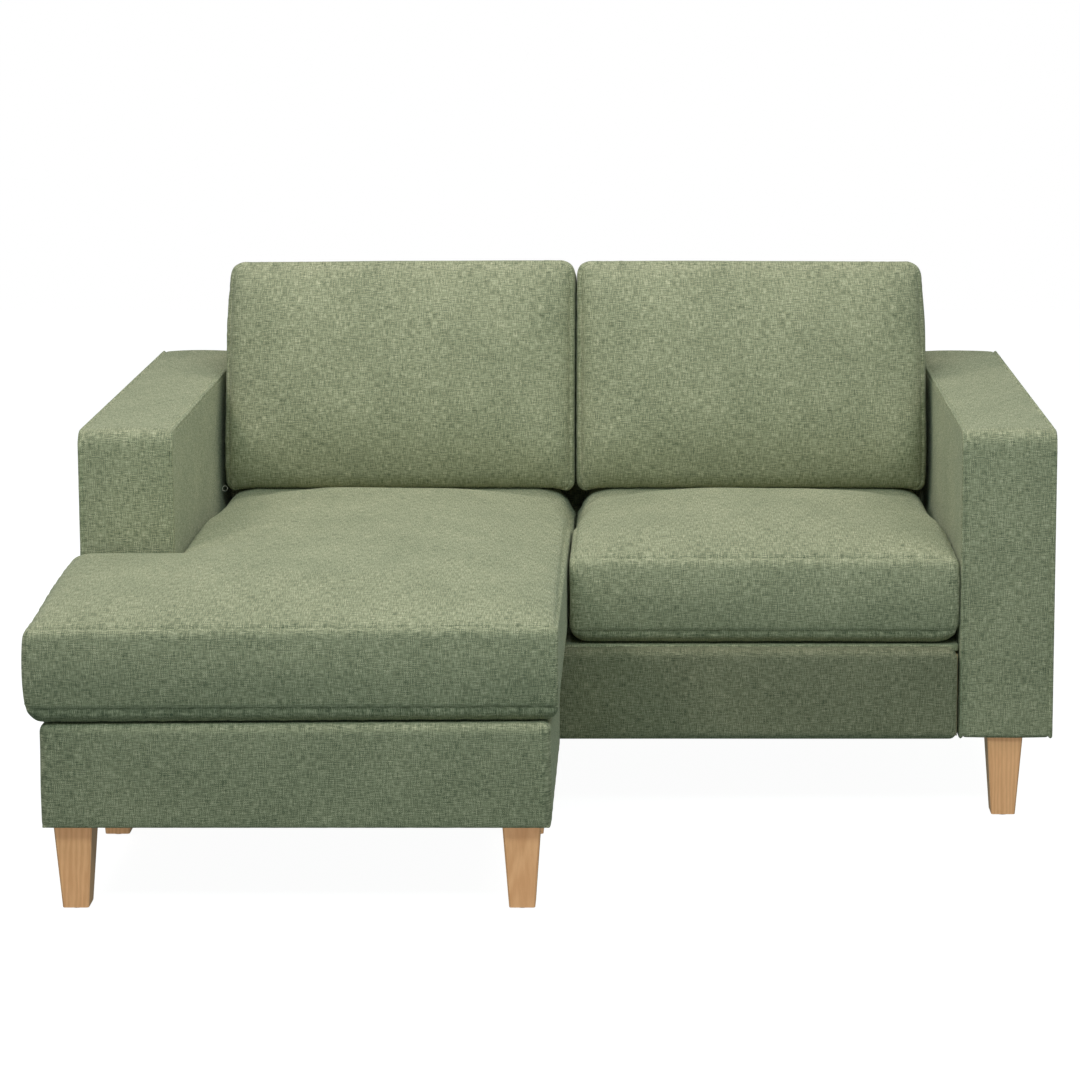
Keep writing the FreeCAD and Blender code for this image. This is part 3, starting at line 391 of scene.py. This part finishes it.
def along_line(points, outs, pitch):
    """Places for beads every pitch along a closed line."""
    closed, outs = np.vstack([points, points[:1]]), np.vstack([outs, outs[:1]])
    run = np.concatenate([[0], np.cumsum(np.linalg.norm(np.diff(closed, axis=0), axis=1))])

    def at(table, spot):
        return np.array([np.interp(spot, run, table[:, k]) for k in range(3)])

    for spot in np.arange(0, run[-1] - pitch * .6, pitch):
        middle = at(closed, spot)
        yield middle, at(closed, spot + pitch * .3) - middle, at(outs, spot)


def stitches(form, row_gap, body, rows="both", lift=.0003):
    """Topstitching on the border, row_gap from the seams: one small bead of thread for each stitch."""
    chosen = []
    if rows in ("both", "low"):
        chosen.append(int(np.argmin(np.abs(form.w - form.w[0] - row_gap))))
    if rows in ("both", "high"):
        chosen.append(int(np.argmin(np.abs(form.w[-1] - form.w - row_gap))))
    fine, form.obj.data = form.obj.data, form.coarse
    lines = [form.line(row) for row in chosen]
    form.obj.data = fine
    places = [(middle + out / np.linalg.norm(out) * lift, way, out)
              for points, outs in lines for middle, way, out in along_line(points, outs, STITCH_PITCH)]
    beads(f"{form.name}_stitching", places, STITCH_LONG, STITCH_RADIUS, body, "cover_fabric")


# ---- materials ----

def node_tree(name):
    material = bpy.data.materials.new(name)
    material.use_nodes = True
    tree = material.node_tree
    shader = tree.nodes["Principled BSDF"]
    return material, tree, shader


def add(tree, kind, inputs=(), **settings):
    """A node with its settings and its inputs, each a value or another node's output."""
    made = tree.nodes.new(kind)
    for key, value in settings.items():
        setattr(made, key, value)
    for socket, value in dict(inputs).items():
        target = made.inputs[socket]
        if isinstance(value, bpy.types.NodeSocket):
            tree.links.new(value, target)
        else:
            target.default_value = value
    return made


def maths(tree, operation, *values):
    return add(tree, "ShaderNodeMath", dict(enumerate(values)), operation=operation).outputs[0]


def stretched(tree, vector, scale):
    return add(tree, "ShaderNodeMapping", {"Vector": vector, "Scale": scale}).outputs[0]


def noise(tree, vector, scale=1.0, detail=2.0, rough=.5):
    inputs = {"Vector": vector, "Scale": scale, "Detail": detail, "Roughness": rough}
    return add(tree, "ShaderNodeTexNoise", inputs).outputs["Fac"]


def ramp(tree, value, stops):
    made = add(tree, "ShaderNodeValToRGB", {"Fac": value})
    band = made.color_ramp
    while len(band.elements) < len(stops):
        band.elements.new(.5)
    for element, (at, colour) in zip(band.elements, stops):
        element.position = at
        element.color = (*colour, 1)
    return made.outputs["Color"]


YARN = .0016          # across one yarn
SLUB = .0150          # along one shade of a yarn


def woven(name, dark, middle, light, place="UV", sheen=.25, bump=.55):
    """Melange cloth: two sets of uneven yarns that pass over and under each other."""
    material, tree, shader = node_tree(name)
    at = add(tree, "ShaderNodeTexCoord").outputs[place]
    warp = noise(tree, stretched(tree, at, (1 / YARN, 1 / SLUB, 1 / SLUB)), 1, 3, .65)
    weft = noise(tree, stretched(tree, at, (1 / SLUB, 1 / YARN, 1 / YARN)), 1, 3, .65)
    split = add(tree, "ShaderNodeSeparateXYZ", {"Vector": stretched(tree, at, (math.pi / YARN,) * 3)})
    across, along = (maths(tree, "SINE", split.outputs[axis]) for axis in "XY")
    over = maths(tree, "MULTIPLY", across, along)
    which = maths(tree, "MULTIPLY_ADD", over, .6, .5)
    yarn = add(tree, "ShaderNodeMix", {"Factor": which, "A": warp, "B": weft}, data_type="FLOAT").outputs[0]
    broad = noise(tree, at, 9, 3, .6)
    shade = maths(tree, "MULTIPLY_ADD", maths(tree, "SUBTRACT", broad, .5), .10, yarn)
    colour = ramp(tree, shade, ((.36, dark), (.50, middle), (.65, light)))
    tree.links.new(colour, shader.inputs["Base Color"])
    height = maths(tree, "MULTIPLY_ADD", over, .22, yarn)
    bumped = add(tree, "ShaderNodeBump", {"Height": height, "Strength": bump, "Distance": .0009})
    tree.links.new(bumped.outputs[0], shader.inputs["Normal"])
    shader.inputs["Roughness"].default_value = .92
    shader.inputs["Specular IOR Level"].default_value = .25
    shader.inputs["Sheen Weight"].default_value = sheen
    shader.inputs["Sheen Roughness"].default_value = .45
    shader.inputs["Sheen Tint"].default_value = (.85, .92, .72, 1)
    return material


def timber(name, dark, light, rough=.42, grain=(60, 60, 4)):
    """Wood with rings and fine pores along +Z of its scale."""
    material, tree, shader = node_tree(name)
    at = add(tree, "ShaderNodeTexCoord").outputs["Object"]
    long = stretched(tree, at, grain)
    warp = noise(tree, long, 1, 4, .6)
    inputs = {"Vector": long, "Scale": 1.4, "Distortion": 5.5, "Detail": 3.0, "Detail Scale": 1.6}
    rings = add(tree, "ShaderNodeTexWave", inputs, wave_type="RINGS", rings_direction="Z").outputs["Fac"]
    pores = noise(tree, stretched(tree, at, tuple(14 * size for size in grain)), 1, 2, .7)
    mixed = maths(tree, "MULTIPLY_ADD", rings, .35, maths(tree, "MULTIPLY", warp, .65))
    fine = maths(tree, "MULTIPLY_ADD", maths(tree, "SUBTRACT", pores, .5), .5, mixed)
    tree.links.new(ramp(tree, fine, ((.25, dark), (.75, light))), shader.inputs["Base Color"])
    tree.links.new(maths(tree, "MULTIPLY_ADD", fine, .2, rough - .1), shader.inputs["Roughness"])
    bumped = add(tree, "ShaderNodeBump", {"Height": fine, "Strength": .18, "Distance": .0004})
    tree.links.new(bumped.outputs[0], shader.inputs["Normal"])
    shader.inputs["Coat Weight"].default_value = .12
    shader.inputs["Coat Roughness"].default_value = .35
    return material


def speckled(name, dark, light, scale, rough, metallic=0.0, bump=.2, distance=.0005):
    """A plain stuff with fine mottling: foam, board, plastic, metal or nonwoven cloth."""
    material, tree, shader = node_tree(name)
    at = add(tree, "ShaderNodeTexCoord").outputs["Object"]
    fine, broad = noise(tree, at, scale, 3, .6), noise(tree, at, scale / 12, 2, .5)
    both = maths(tree, "MULTIPLY_ADD", broad, .4, maths(tree, "MULTIPLY", fine, .6))
    tree.links.new(ramp(tree, both, ((.35, dark), (.65, light))), shader.inputs["Base Color"])
    tree.links.new(maths(tree, "MULTIPLY_ADD", both, .2, rough - .1), shader.inputs["Roughness"])
    bumped = add(tree, "ShaderNodeBump", {"Height": both, "Strength": bump, "Distance": distance})
    tree.links.new(bumped.outputs[0], shader.inputs["Normal"])
    shader.inputs["Metallic"].default_value = metallic
    return material


SAGE = woven("sage_weave", (.120, .140, .085), (.335, .338, .216), (.680, .640, .440))
THREAD = speckled("sage_thread", (.34, .37, .24), (.44, .46, .31), 900, .8)
MATERIALS = {
    "cover_fabric": SAGE,
    "foam": speckled("cream_foam", (.62, .56, .40), (.80, .75, .58), 700, .95, bump=.5, distance=.001),
    "hardboard": speckled("hardboard", (.16, .09, .045), (.26, .16, .085), 500, .7),
    "beech": timber("beech", (.79, .395, .188), (.93, .50, .252), grain=(34, 34, 3.2)),
    "frame_timber": timber("pine", (.50, .33, .16), (.72, .54, .31), rough=.65, grain=(22, 3, 22)),
    "glide_plastic": speckled("brown_plastic", (.035, .022, .015), (.055, .036, .024), 400, .4),
    "zinc_steel": speckled("zinc_steel", (.50, .52, .54), (.66, .67, .69), 300, .38, metallic=1.0),
    "spring_steel": speckled("spring_steel", (.20, .20, .21), (.33, .33, .34), 300, .42, metallic=1.0),
    "black_cloth": speckled("black_nonwoven", (.010, .010, .011), (.030, .030, .032), 800, .95, bump=.6),
    "webbing": woven("webbing", (.10, .085, .06), (.22, .19, .14), (.38, .33, .25), place="Object", sheen=.1),
    "zip_metal": speckled("zip_metal", (.42, .40, .37), (.62, .60, .56), 350, .28, metallic=1.0),
    "zip_tape": woven("zip_tape", (.10, .13, .08), (.17, .20, .125), (.26, .29, .19), place="Object", sheen=.1),
}


def finish_nodes():
    """Give every CAD node the material of its slot in the record."""
    for part in frame["record"]["subparts"]:
        mesh = frame["nodes"][part["node"]].data
        mesh.materials.clear()
        mesh.materials.append(MATERIALS[part["material_slot"]])
        mesh.polygons.foreach_set("material_index", [0] * len(mesh.polygons))


def dress(form, body, nodes, slot="cover_fabric"):
    """Finish a soft piece: its cloth, its body and the CAD nodes that it stands for."""
    form.obj.data.materials.clear()
    form.obj.data.materials.append(MATERIALS[slot])
    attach(form.obj, body)
    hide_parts(*nodes)
    return form.obj


# ---- places taken from the frame ----

def corners_of(*nodes):
    """The lowest and highest corners of several nodes together, as arrays."""
    boxes = [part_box(node) for node in nodes]
    return (np.min([tuple(low) for low, _ in boxes], 0), np.max([tuple(high) for _, high in boxes], 0))


ARM_LOW, ARM_HIGH = corners_of("arm_cover_right")          # the right arm; the left is its mirror image
SEAT_LOW, SEAT_HIGH = corners_of("seat_cushion_cover")
CHAISE_LOW, CHAISE_HIGH = corners_of("chaise_cushion_cover")
BACK_LOW, BACK_HIGH = corners_of("back_cover")
LEFT_LOW, LEFT_HIGH = corners_of("back_cushion_left_cover")
RIGHT_LOW, RIGHT_HIGH = corners_of("back_cushion_right_cover")
RAIL_LOW, RAIL_HIGH = corners_of("seat_front_cover")
OTTOMAN_LOW, OTTOMAN_HIGH = corners_of("ottoman_cover")
DECK_LOW, DECK_HIGH = corners_of("deck_cover", "deck_padding")
BACK_SLOPE = .231                                          # how far the back leans for each unit of height
BACK_DEEP = .195                                           # of the back cushions


def upright(low):
    """Placing with a along X, b along Y and w up."""
    return lambda p: np.column_stack([low[0] + p[:, 0], low[1] + p[:, 1], low[2] + p[:, 2]])


def sideways(low):
    """Placing with a along Y, b up and w along X."""
    return lambda p: np.column_stack([low[0] + p[:, 2], low[1] + p[:, 0], low[2] + p[:, 1]])


# ---- arms, ottoman, seat front, deck and back ----

def arms():
    """The two box arms, with a felled seam round each side."""
    size = ARM_HIGH - ARM_LOW
    for side, low in (("left", -ARM_HIGH[0]), ("right", ARM_LOW[0])):
        start = np.array([low, ARM_LOW[1], ARM_LOW[2]])
        form = Boxed(f"arm_{side}", (size[1], size[2], size[0]), sideways(start), edge=.0030, turn=.007,
                     bulge=.0005, crowns=((.0030, .010), (.0030, .010)), domes=(.0005, .0005),
                     corners=(.005, .006, .024, .024), step=WIDE_STEP)

        def settle(p, low=low):
            """Crown the top a little and keep the arm's sides where they are."""
            share = np.clip((p[:, 0] - low) / size[0], 0, 1)
            p = p.copy()
            rise = .0004 + .0045 * np.sin(math.pi * share) ** .5
            p[:, 2] += rise * smoothstep((p[:, 2] - ARM_HIGH[2] + .06) / .06)
            p[:, 0] = np.clip(p[:, 0], low, low + size[0])
            return p

        form.reshape(settle)
        refine(form, pucker=.0002, reach=.011, sag=.0008, groove=.0010, fell=.0024,
               seed=3 if side == "left" else 5)
        dress(form, "sofa", (f"arm_cover_{side}", f"arm_padding_{side}"))
        stitches(form, STITCH_ROW, "sofa", lift=.0024)


def ottoman():
    """The ottoman's cover: turned over softly at the top, hanging a little below the frame."""
    size = OTTOMAN_HIGH - OTTOMAN_LOW
    form = Boxed("ottoman_upholstery", tuple(size), upright(OTTOMAN_LOW), rims=(-.0045, 0), edge=.012,
                 flare=.0105, turn=.014, bulge=.0, crowns=((-.0052, .006), (.0, .02)), domes=(0, -.004),
                 corners=(.013,) * 4, step=WIDE_STEP)
    refine(form, pucker=.0003, sag=.0012, groove=0, seed=8)
    dress(form, "ottoman", ("ottoman_cover", "ottoman_padding"))


def seat_front():
    """The padded rail under the seat cushion, its upper corners turned more than its lower ones."""
    size = RAIL_HIGH - RAIL_LOW
    grown, deeper, squeezed, lower = .0060, .030, .985, .001

    def place(p):
        return np.column_stack([RAIL_LOW[0] - grown + p[:, 0], RAIL_LOW[1] + p[:, 2],
                                RAIL_LOW[2] - lower + p[:, 1] * squeezed])

    form = Boxed("seat_front", (size[0] + 2 * grown, size[2], size[1] + deeper), place, edge=.009, turn=.013,
                 bulge=.0, crowns=((.001, .01), (.0, .01)), corners=(.009, .009, .019, .019), step=WIDE_STEP)
    refine(form, sag=.0008, groove=0, seed=9)
    dress(form, "sofa", ("seat_front_cover", "seat_front_padding"))


def deck():
    """The padded deck under the cushions, reaching to the arms."""
    low = DECK_LOW * (0, 1, 1) + (CLEAR - ARM_LOW[0], 0, 0)
    size = (2 * (ARM_LOW[0] - CLEAR), DECK_HIGH[1] - DECK_LOW[1], DECK_HIGH[2] - DECK_LOW[2])
    form = Boxed("deck", size, upright(low), edge=.002, turn=.003, bulge=0, crowns=((0, .02), (0, .02)),
                 corners=(.004,) * 4, step=.03)
    dress(form, "sofa", ("deck_cover", "deck_padding"))


def back():
    """The back between the arms: upright below the deck, leaning above it."""
    size = BACK_HIGH - BACK_LOW
    form = Boxed("back_upholstery", (size[1], size[2], size[0]), back_place, edge=.004, turn=.010, bulge=.0,
                 crowns=((.0, .01), (.0, .01)), corners=(.008, .010, .022, .022), step=WIDE_STEP)
    refine(form, pucker=.0005, sag=.0010, fell=.0008, seed=12)
    dress(form, "sofa", ("back_cover", "back_padding"))
    stitches(form, STITCH_ROW, "sofa", lift=.0014)


def lean_at(z):
    """Y of the back's front face at height z."""
    return BACK_LOW[1] + BACK_SLOPE * np.maximum(z - DECK_HIGH[2], 0)


def back_place(p):
    """Placing of the back: its front face leans, its rear face is upright."""
    z = BACK_LOW[2] + p[:, 1]
    front = lean_at(z)
    y = front + p[:, 0] / (BACK_HIGH[1] - BACK_LOW[1]) * (BACK_HIGH[1] - front)
    return np.column_stack([BACK_LOW[0] + p[:, 2], y, z])


# ---- cushions ----

def seat_limits(points, low_x, high_x):
    """Keep a seat cushion off the deck, the back, its neighbours and the back cushions that lie on it."""
    p = points.copy()
    inner = np.maximum(p[:, 0], low_x) if low_x > 0 else np.minimum(p[:, 0], high_x)
    p[:, 0] = np.where(p[:, 1] > SEAT_LOW[1] - .015, np.clip(p[:, 0], low_x, high_x), inner)
    p[:, 1] = np.minimum(p[:, 1], SEAT_HIGH[1] + .003)
    press = smoothstep((p[:, 1] - CRUSH_AT + CRUSH_OVER) / CRUSH_OVER)
    roof = SEAT_HIGH[2] + (1 - press) * .03 - rear_drop(p)
    p[:, 2] = np.clip(p[:, 2], SEAT_LOW[2] + CLEAR / 2, roof)
    return p


def rear_drop(p):
    """How far a seat cushion's top falls away at its rear corners."""
    side = np.minimum(np.abs(p[:, 0]), np.abs(np.abs(p[:, 0]) - ARM_LOW[0]))
    return .044 * smoothstep((p[:, 1] - .02) / .2) * (1 - np.clip(side / .065, 0, 1)) ** 2


def round_rear(points):
    """Lower the top at the rear corners, once."""
    p = points.copy()
    p[:, 2] -= np.where(p[:, 2] > SEAT_HIGH[2] - .04, rear_drop(p), 0)
    return p


def grip(form, free=.035, flat_side=0):
    """How firmly each point of a cushion is held while it swells: most at its seams and on its flat side."""
    held = np.clip(1 - form.gap / free, 0, 1) ** .5
    held[form.part == flat_side] = 1
    return held * .9


def cushion_body(form, limit, seed, flat_side=0, pucker=.0007):
    """Settle a cushion in its place, swell it and give it its seams."""
    form.reshape(limit)
    inflate(form, grip(form, flat_side=flat_side), SWELL, limit)
    refine(form, pucker=pucker, sag=.0012, seed=seed, keep=limit)


def seat_cushion():
    """The loose cushion of the single seat."""
    size = SEAT_HIGH - SEAT_LOW
    form = Boxed("seat_cushion_shape", tuple(size), upright(SEAT_LOW), rims=(SEAT_SEAM_LOW, SEAT_SEAM_HIGH),
                 edge=SEAT_EDGE, turn=.018, bulge=.007, flare=.006,
                 crowns=((SEAT_SEAM_LOW - CLEAR, .030), (SEAT_CROWN, (.050, .050, .120, .16, .05))),
                 domes=(0, SEAT_DOME), corners=(.016, .016, .045, .045))
    form.reshape(round_rear)
    cushion_body(form, lambda p: seat_limits(p, BETWEEN, ARM_LOW[0] - CLEAR), 21)
    dress(form, "seat_cushion", ("seat_cushion_cover", "seat_cushion_core"))
    stitches(form, SEAT_STITCH_ROW, "seat_cushion", rows="low")


def chaise_cushion():
    """The L-shaped cushion, in front of the left arm and behind it."""
    size = CHAISE_HIGH - CHAISE_LOW
    beside_arm = -SEAT_HIGH[0] - CHAISE_LOW[0]
    before_arm = ARM_LOW[1] - .006 - CHAISE_LOW[1]
    form = Boxed("chaise_cushion_shape", tuple(size), upright(CHAISE_LOW), rims=(SEAT_SEAM_LOW, SEAT_SEAM_HIGH),
                 edge=SEAT_EDGE, turn=.016, bulge=.004, flare=.006, bite=(beside_arm, before_arm),
                 crowns=((SEAT_SEAM_LOW - CLEAR, .022), (SEAT_CROWN, (.034, .050, .150, .16, .040))),
                 domes=(0, SEAT_DOME), corners=(.012, .012, .045, .026))

    def limit(points):
        """Keep the cushion in its place and its free end in front of the arm."""
        p = seat_limits(points, -ARM_LOW[0] + CLEAR, -BETWEEN)
        wide = p[:, 0] < -ARM_LOW[0] + .0005
        p[:, 1] = np.where(wide, np.minimum(p[:, 1], ARM_LOW[1] - CLEAR), p[:, 1])
        return p

    def skew(p):
        """Turn the free end a little on its ottoman, and let it spread in front of the arm."""
        x, y, z = p.T
        turn = smoothstep((ARM_LOW[1] + .02 - y) / .20) * .019
        turned_x = x - turn * (y - ARM_LOW[1]) * .35
        turned_y = y + turn * (x - (CHAISE_LOW[0] + CHAISE_HIGH[0]) / 2)
        spread = smoothstep((-ARM_LOW[0] - .06 - turned_x) / .09)
        spread *= smoothstep((turned_y - CHAISE_LOW[1]) / .4)
        return np.column_stack([turned_x - .015 * spread, turned_y, z])

    form.reshape(skew)
    form.reshape(round_rear)
    cushion_body(form, limit, 34)
    dress(form, "chaise_cushion", ("chaise_cushion_cover", "chaise_cushion_core"))
    stitches(form, SEAT_STITCH_ROW, "chaise_cushion", rows="low")


def back_cushions():
    """Two leaning cushions: level underneath, square across the top, a little narrower there."""
    for side, low, high in (("left", LEFT_LOW, LEFT_HIGH), ("right", RIGHT_LOW, RIGHT_HIGH)):
        tall, deep, wide = high[2] - low[2], BACK_DEEP, high[0] - low[0]
        cosine = 1 / math.sqrt(1 + BACK_SLOPE ** 2)
        inner = 1 if side == "left" else 0
        zip_low, zip_high = corners_of(f"back_zip_{side}_tape")

        def place(p, low=low, tall=tall, deep=deep, wide=wide, inner=inner):
            share = (p[:, 1] - .007) / (tall - .007)
            foot = lean_at(low[2]) - .0015 - deep
            y0, z0 = foot + BACK_SLOPE * (tall + .002) * share, low[2] + (tall + .002) * share
            y1 = deep * (1 - share) + deep * cosine ** 2 * share
            z1 = -deep * BACK_SLOPE * cosine ** 2 * share
            across = p[:, 2] / deep
            outward = p[:, 0] / wide - inner
            x = low[0] + p[:, 0] - outward * .006 * smoothstep((share - .70) / .30)
            tilt = .004 * smoothstep((share - .8) / .2) * (p[:, 0] / wide - .5) * (1 if inner else -.3)
            tuck = .040 * np.clip(1 - p[:, 1] / .11, 0, 1) ** 2 * (1 - across)
            corner = (1 - np.clip(np.minimum(p[:, 0], wide - p[:, 0]) / .055, 0, 1)) ** 2
            droop = .011 * corner * np.clip(1 - p[:, 1] / .10, 0, 1) ** 2 * (1 - across)
            return np.column_stack([x, y0 + across * y1 + tuck, z0 + across * z1 + tilt - droop])

        def limit(points, low=low, high=high, side=side, track=(zip_low + zip_high) / 2):
            """Keep a cushion off the back, the arm and its twin, and level along its zip's track."""
            p = points.copy()
            away = np.abs(p[:, 1] - track[1] - BACK_SLOPE * (p[:, 2] - track[2]))
            outer = RIGHT_HIGH[0] + (ARM_LOW[0] - CLEAR - RIGHT_HIGH[0]) * smoothstep((away - .018) / .024)
            inside = .0012
            reach = (-outer, -inside) if side == "left" else (inside, outer)
            p[:, 0] = np.clip(p[:, 0], *reach)
            corner = np.minimum(np.abs(p[:, 0] - low[0]), np.abs(p[:, 0] - high[0]))
            p[:, 2] = np.maximum(p[:, 2], low[2] - .011 * (1 - np.clip(corner / .055, 0, 1)) ** 2)
            p[:, 1] = np.minimum(p[:, 1], lean_at(p[:, 2]) - .0012)
            return p

        form = Boxed(f"back_cushion_{side}_shape", (wide, tall, deep), place, rims=(.018, .010), edge=BACK_EDGE,
                     turn=.020, bulge=.002, crowns=((.040, (.065, .065, .14, .09, .06)), (.009, .06)),
                     domes=(.006, 0), corners=(.028, .028, .026, .026))
        cushion_body(form, limit, 40 if side == "left" else 47, flat_side=1, pucker=.0007)
        dress(form, f"back_cushion_{side}", (f"back_cushion_{side}_cover", f"back_cushion_{side}_core"))


# ---- zips, dust cloths and other small pieces ----

def zip_strip(name, node, along, out, body):
    """A zip's tape as a thin band that ripples a little, with the coil's teeth down its middle."""
    low, high = (np.array(corner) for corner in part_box(node))
    along, out = np.array(along, float), np.array(out, float)
    across = np.cross(out, along)
    middle = (low + high) / 2
    longest = int(np.argmax(np.abs(along)))
    length = (high - low)[longest] / abs(along[longest])
    wide = .012
    seat = max(low.dot(out), high.dot(out)) - middle.dot(out) - .0016
    stations, cuts = np.linspace(-length / 2, length / 2, int(length / .008)), np.linspace(-wide, wide, 9)
    verts, faces = [], []
    for layer in (0, 1):
        for at in stations:
            for cut in cuts:
                wave = .0003 * math.sin(at * 210 + cut * 90)
                verts.append(middle + along * at + across * cut + out * (seat + wave + (.0007 if layer else 0)))
    row, half = len(cuts), len(stations) * len(cuts)
    for i in range(len(stations) - 1):
        for j in range(row - 1):
            quad = (i * row + j, (i + 1) * row + j, (i + 1) * row + j + 1, i * row + j + 1)
            faces += [quad, tuple(half + k for k in reversed(quad))]
    last = (len(stations) - 1) * row
    rim = list(range(row)) + [i * row + row - 1 for i in range(1, len(stations))]
    rim += [last + j for j in reversed(range(row - 1))]
    rim += [i * row for i in reversed(range(1, len(stations) - 1))]
    faces += [(one, two, half + two, half + one) for one, two in zip(rim, rim[1:] + rim[:1])]
    tape = new_object(f"{name}_tape_band", verts, faces)
    tape.data.materials.append(MATERIALS["zip_tape"])
    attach(tape, body)
    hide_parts(node)
    teeth = np.arange(-length / 2 + .004, length / 2 - .003, .0024)
    places = [(middle + along * at + out * (seat + .0011), across, out) for at in teeth]
    beads(f"{name}_teeth", places, .0052, .0007, body, "zip_metal")


def dust_cloth(name, node, body, corner):
    """A black cloth stretched under a frame, sagging a little and stapled round its edge."""
    low, high = (np.array(point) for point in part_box(node))
    size = high - low
    thick, hang = .0009, .0030
    form = Boxed(name, (size[0], size[1], thick), upright(low + (0, 0, size[2] - thick)), edge=.0008, turn=.001,
                 bulge=0, crowns=((0, .01), (0, .01)), domes=(hang, -hang), corners=(corner,) * 4, step=.03)
    form.obj.data.materials.append(MATERIALS["black_cloth"])
    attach(form.obj, body)
    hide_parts(node)
    from_edge = .014
    inset = np.array([(size[0] / 2 - from_edge) / (size[0] / 2), (size[1] / 2 - from_edge) / (size[1] / 2), 1])
    middle = (low + high) / 2
    points, _ = form.line(0)
    points = middle + (points - middle) * inset
    outs = np.tile((0.0, 0.0, -1.0), (len(points), 1))
    beads(f"{name}_staples", along_line(points, outs, .045), .011, .0006, body, "spring_steel")


def pull_ring():
    """The small wire ring at the left back cushion's lower corner."""
    middle, radius, wire = np.array([LEFT_LOW[0] + .003, LEFT_LOW[1] + .008, LEFT_LOW[2] + .0065]), .0046, .0007
    places = []
    for k in range(16):
        turn = 2 * math.pi * k / 16
        out = np.array([math.cos(turn), .25 * math.sin(turn), math.sin(turn)])
        way = np.array([-math.sin(turn), .25 * math.cos(turn), math.cos(turn)])
        places.append((middle + out * radius, way, out))
    beads("pull_ring", places, .0026, wire, "back_cushion_left", "zip_metal", sides=8)


def small_pieces():
    zip_strip("seat_zip", "seat_zip_tape", (1, 0, 0), (0, 1, 0), "seat_cushion")
    zip_strip("chaise_zip", "chaise_zip_tape", (1, 0, 0), (0, 1, 0), "chaise_cushion")
    slope = np.array([0, BACK_SLOPE, 1]) / math.hypot(BACK_SLOPE, 1)
    zip_strip("back_zip_left", "back_zip_left_tape", slope, (-1, 0, 0), "back_cushion_left")
    zip_strip("back_zip_right", "back_zip_right_tape", slope, (1, 0, 0), "back_cushion_right")
    dust_cloth("sofa_dust_sheet", "dust_cloth", "sofa", .010)
    dust_cloth("ottoman_dust_sheet", "ottoman_dust_cloth", "ottoman", .020)
    pull_ring()


# ---- stage ----

def lamp(name, at, target, size, power, colour):
    data = bpy.data.lights.new(name, "AREA")
    data.shape = "RECTANGLE"
    data.size, data.size_y = size
    data.energy = power
    data.color = colour
    obj = bpy.data.objects.new(name, data)
    bpy.context.scene.collection.objects.link(obj)
    obj.location = at
    obj.rotation_euler = (Vector(target) - Vector(at)).to_track_quat("-Z", "Y").to_euler()
    return obj


def stage():
    scene = bpy.context.scene
    camera_data = bpy.data.cameras.new("camera")
    camera_data.sensor_width = 36
    camera_data.lens = 97.77
    camera_data.shift_x, camera_data.shift_y = -.10, -.25
    camera = bpy.data.objects.new("camera", camera_data)
    scene.collection.objects.link(camera)
    camera.location = (.13788, -5.09645, 1.57996)
    camera.rotation_euler = (math.radians(90 - 7.309), 0, math.radians(.02))
    scene.camera = camera

    lamp("key left", (-2.2, -1.4, 3.2), (0, 0, .4), (1.0, 1.0), 33, (1, .94, .93))
    lamp("key right", (2.2, -1.4, 3.2), (0, 0, .4), (1.0, 1.0), 20, (1, .94, .93))
    lamp("overhead", (0, .6, 3.6), (0, .6, .4), (2.0, 1.2), 32, (1, .95, .93))
    lamp("front", (0, -2.1, 2.3), (0, 0, 2.3), (2.6, .8), 15, (.80, 1, .97))
    front = lamp("front upper", (0, -2.1, 2.3), (0, 0, 2.3), (2.6, .8), 33, (.80, 1, .97))
    flagged = bpy.data.collections.new("flagged")
    flagged.objects.link(bpy.data.objects["seat_front"])
    flagged.collection_objects[0].light_linking.link_state = "EXCLUDE"
    front.light_linking.receiver_collection = flagged
    low_lamp = lamp("low", (.1, -3.4, .25), (0, 0, .05), (3.0, .3), 30, (1, .97, .92))
    legs = bpy.data.collections.new("legs")
    for node, obj in frame["nodes"].items():
        if "_leg_" in node and not node.endswith(("bolts", "glides")):
            legs.objects.link(obj)
    low_lamp.light_linking.receiver_collection = legs
    world = bpy.data.worlds.new("world")
    world.use_nodes = True
    scene.world = world
    tree = world.node_tree
    ray = add(tree, "ShaderNodeLightPath").outputs["Is Camera Ray"]
    soft = add(tree, "ShaderNodeBackground", {"Color": (.74, 1, .92, 1), "Strength": .17})
    white = add(tree, "ShaderNodeBackground", {"Color": (1, 1, 1, 1), "Strength": 1.0})
    both = add(tree, "ShaderNodeMixShader", {0: ray, 1: soft.outputs[0], 2: white.outputs[0]})
    tree.links.new(both.outputs[0], tree.nodes["World Output"].inputs["Surface"])

    span, count = 6.0, 8
    grid = np.linspace(-span, span, count)
    verts = [(x, y, 0) for y in grid for x in grid]
    faces = [(r * count + c, r * count + c + 1, (r + 1) * count + c + 1, (r + 1) * count + c)
             for r in range(count - 1) for c in range(count - 1)]
    floor = new_object("floor", verts, faces)
    material, tree, shader = node_tree("pale_floor")
    shader.inputs["Base Color"].default_value = (.22, .22, .22, 1)
    shader.inputs["Roughness"].default_value = .9
    shader.inputs["Emission Color"].default_value = (1, 1, 1, 1)
    shader.inputs["Emission Strength"].default_value = .965
    floor.data.materials.append(material)
    floor.visible_diffuse = False
    floor.visible_glossy = False
    scene.view_settings.view_transform = "Standard"


finish_nodes()
arms()
ottoman()
seat_front()
deck()
back()
seat_cushion()
chaise_cushion()
back_cushions()
small_pieces()
stage()
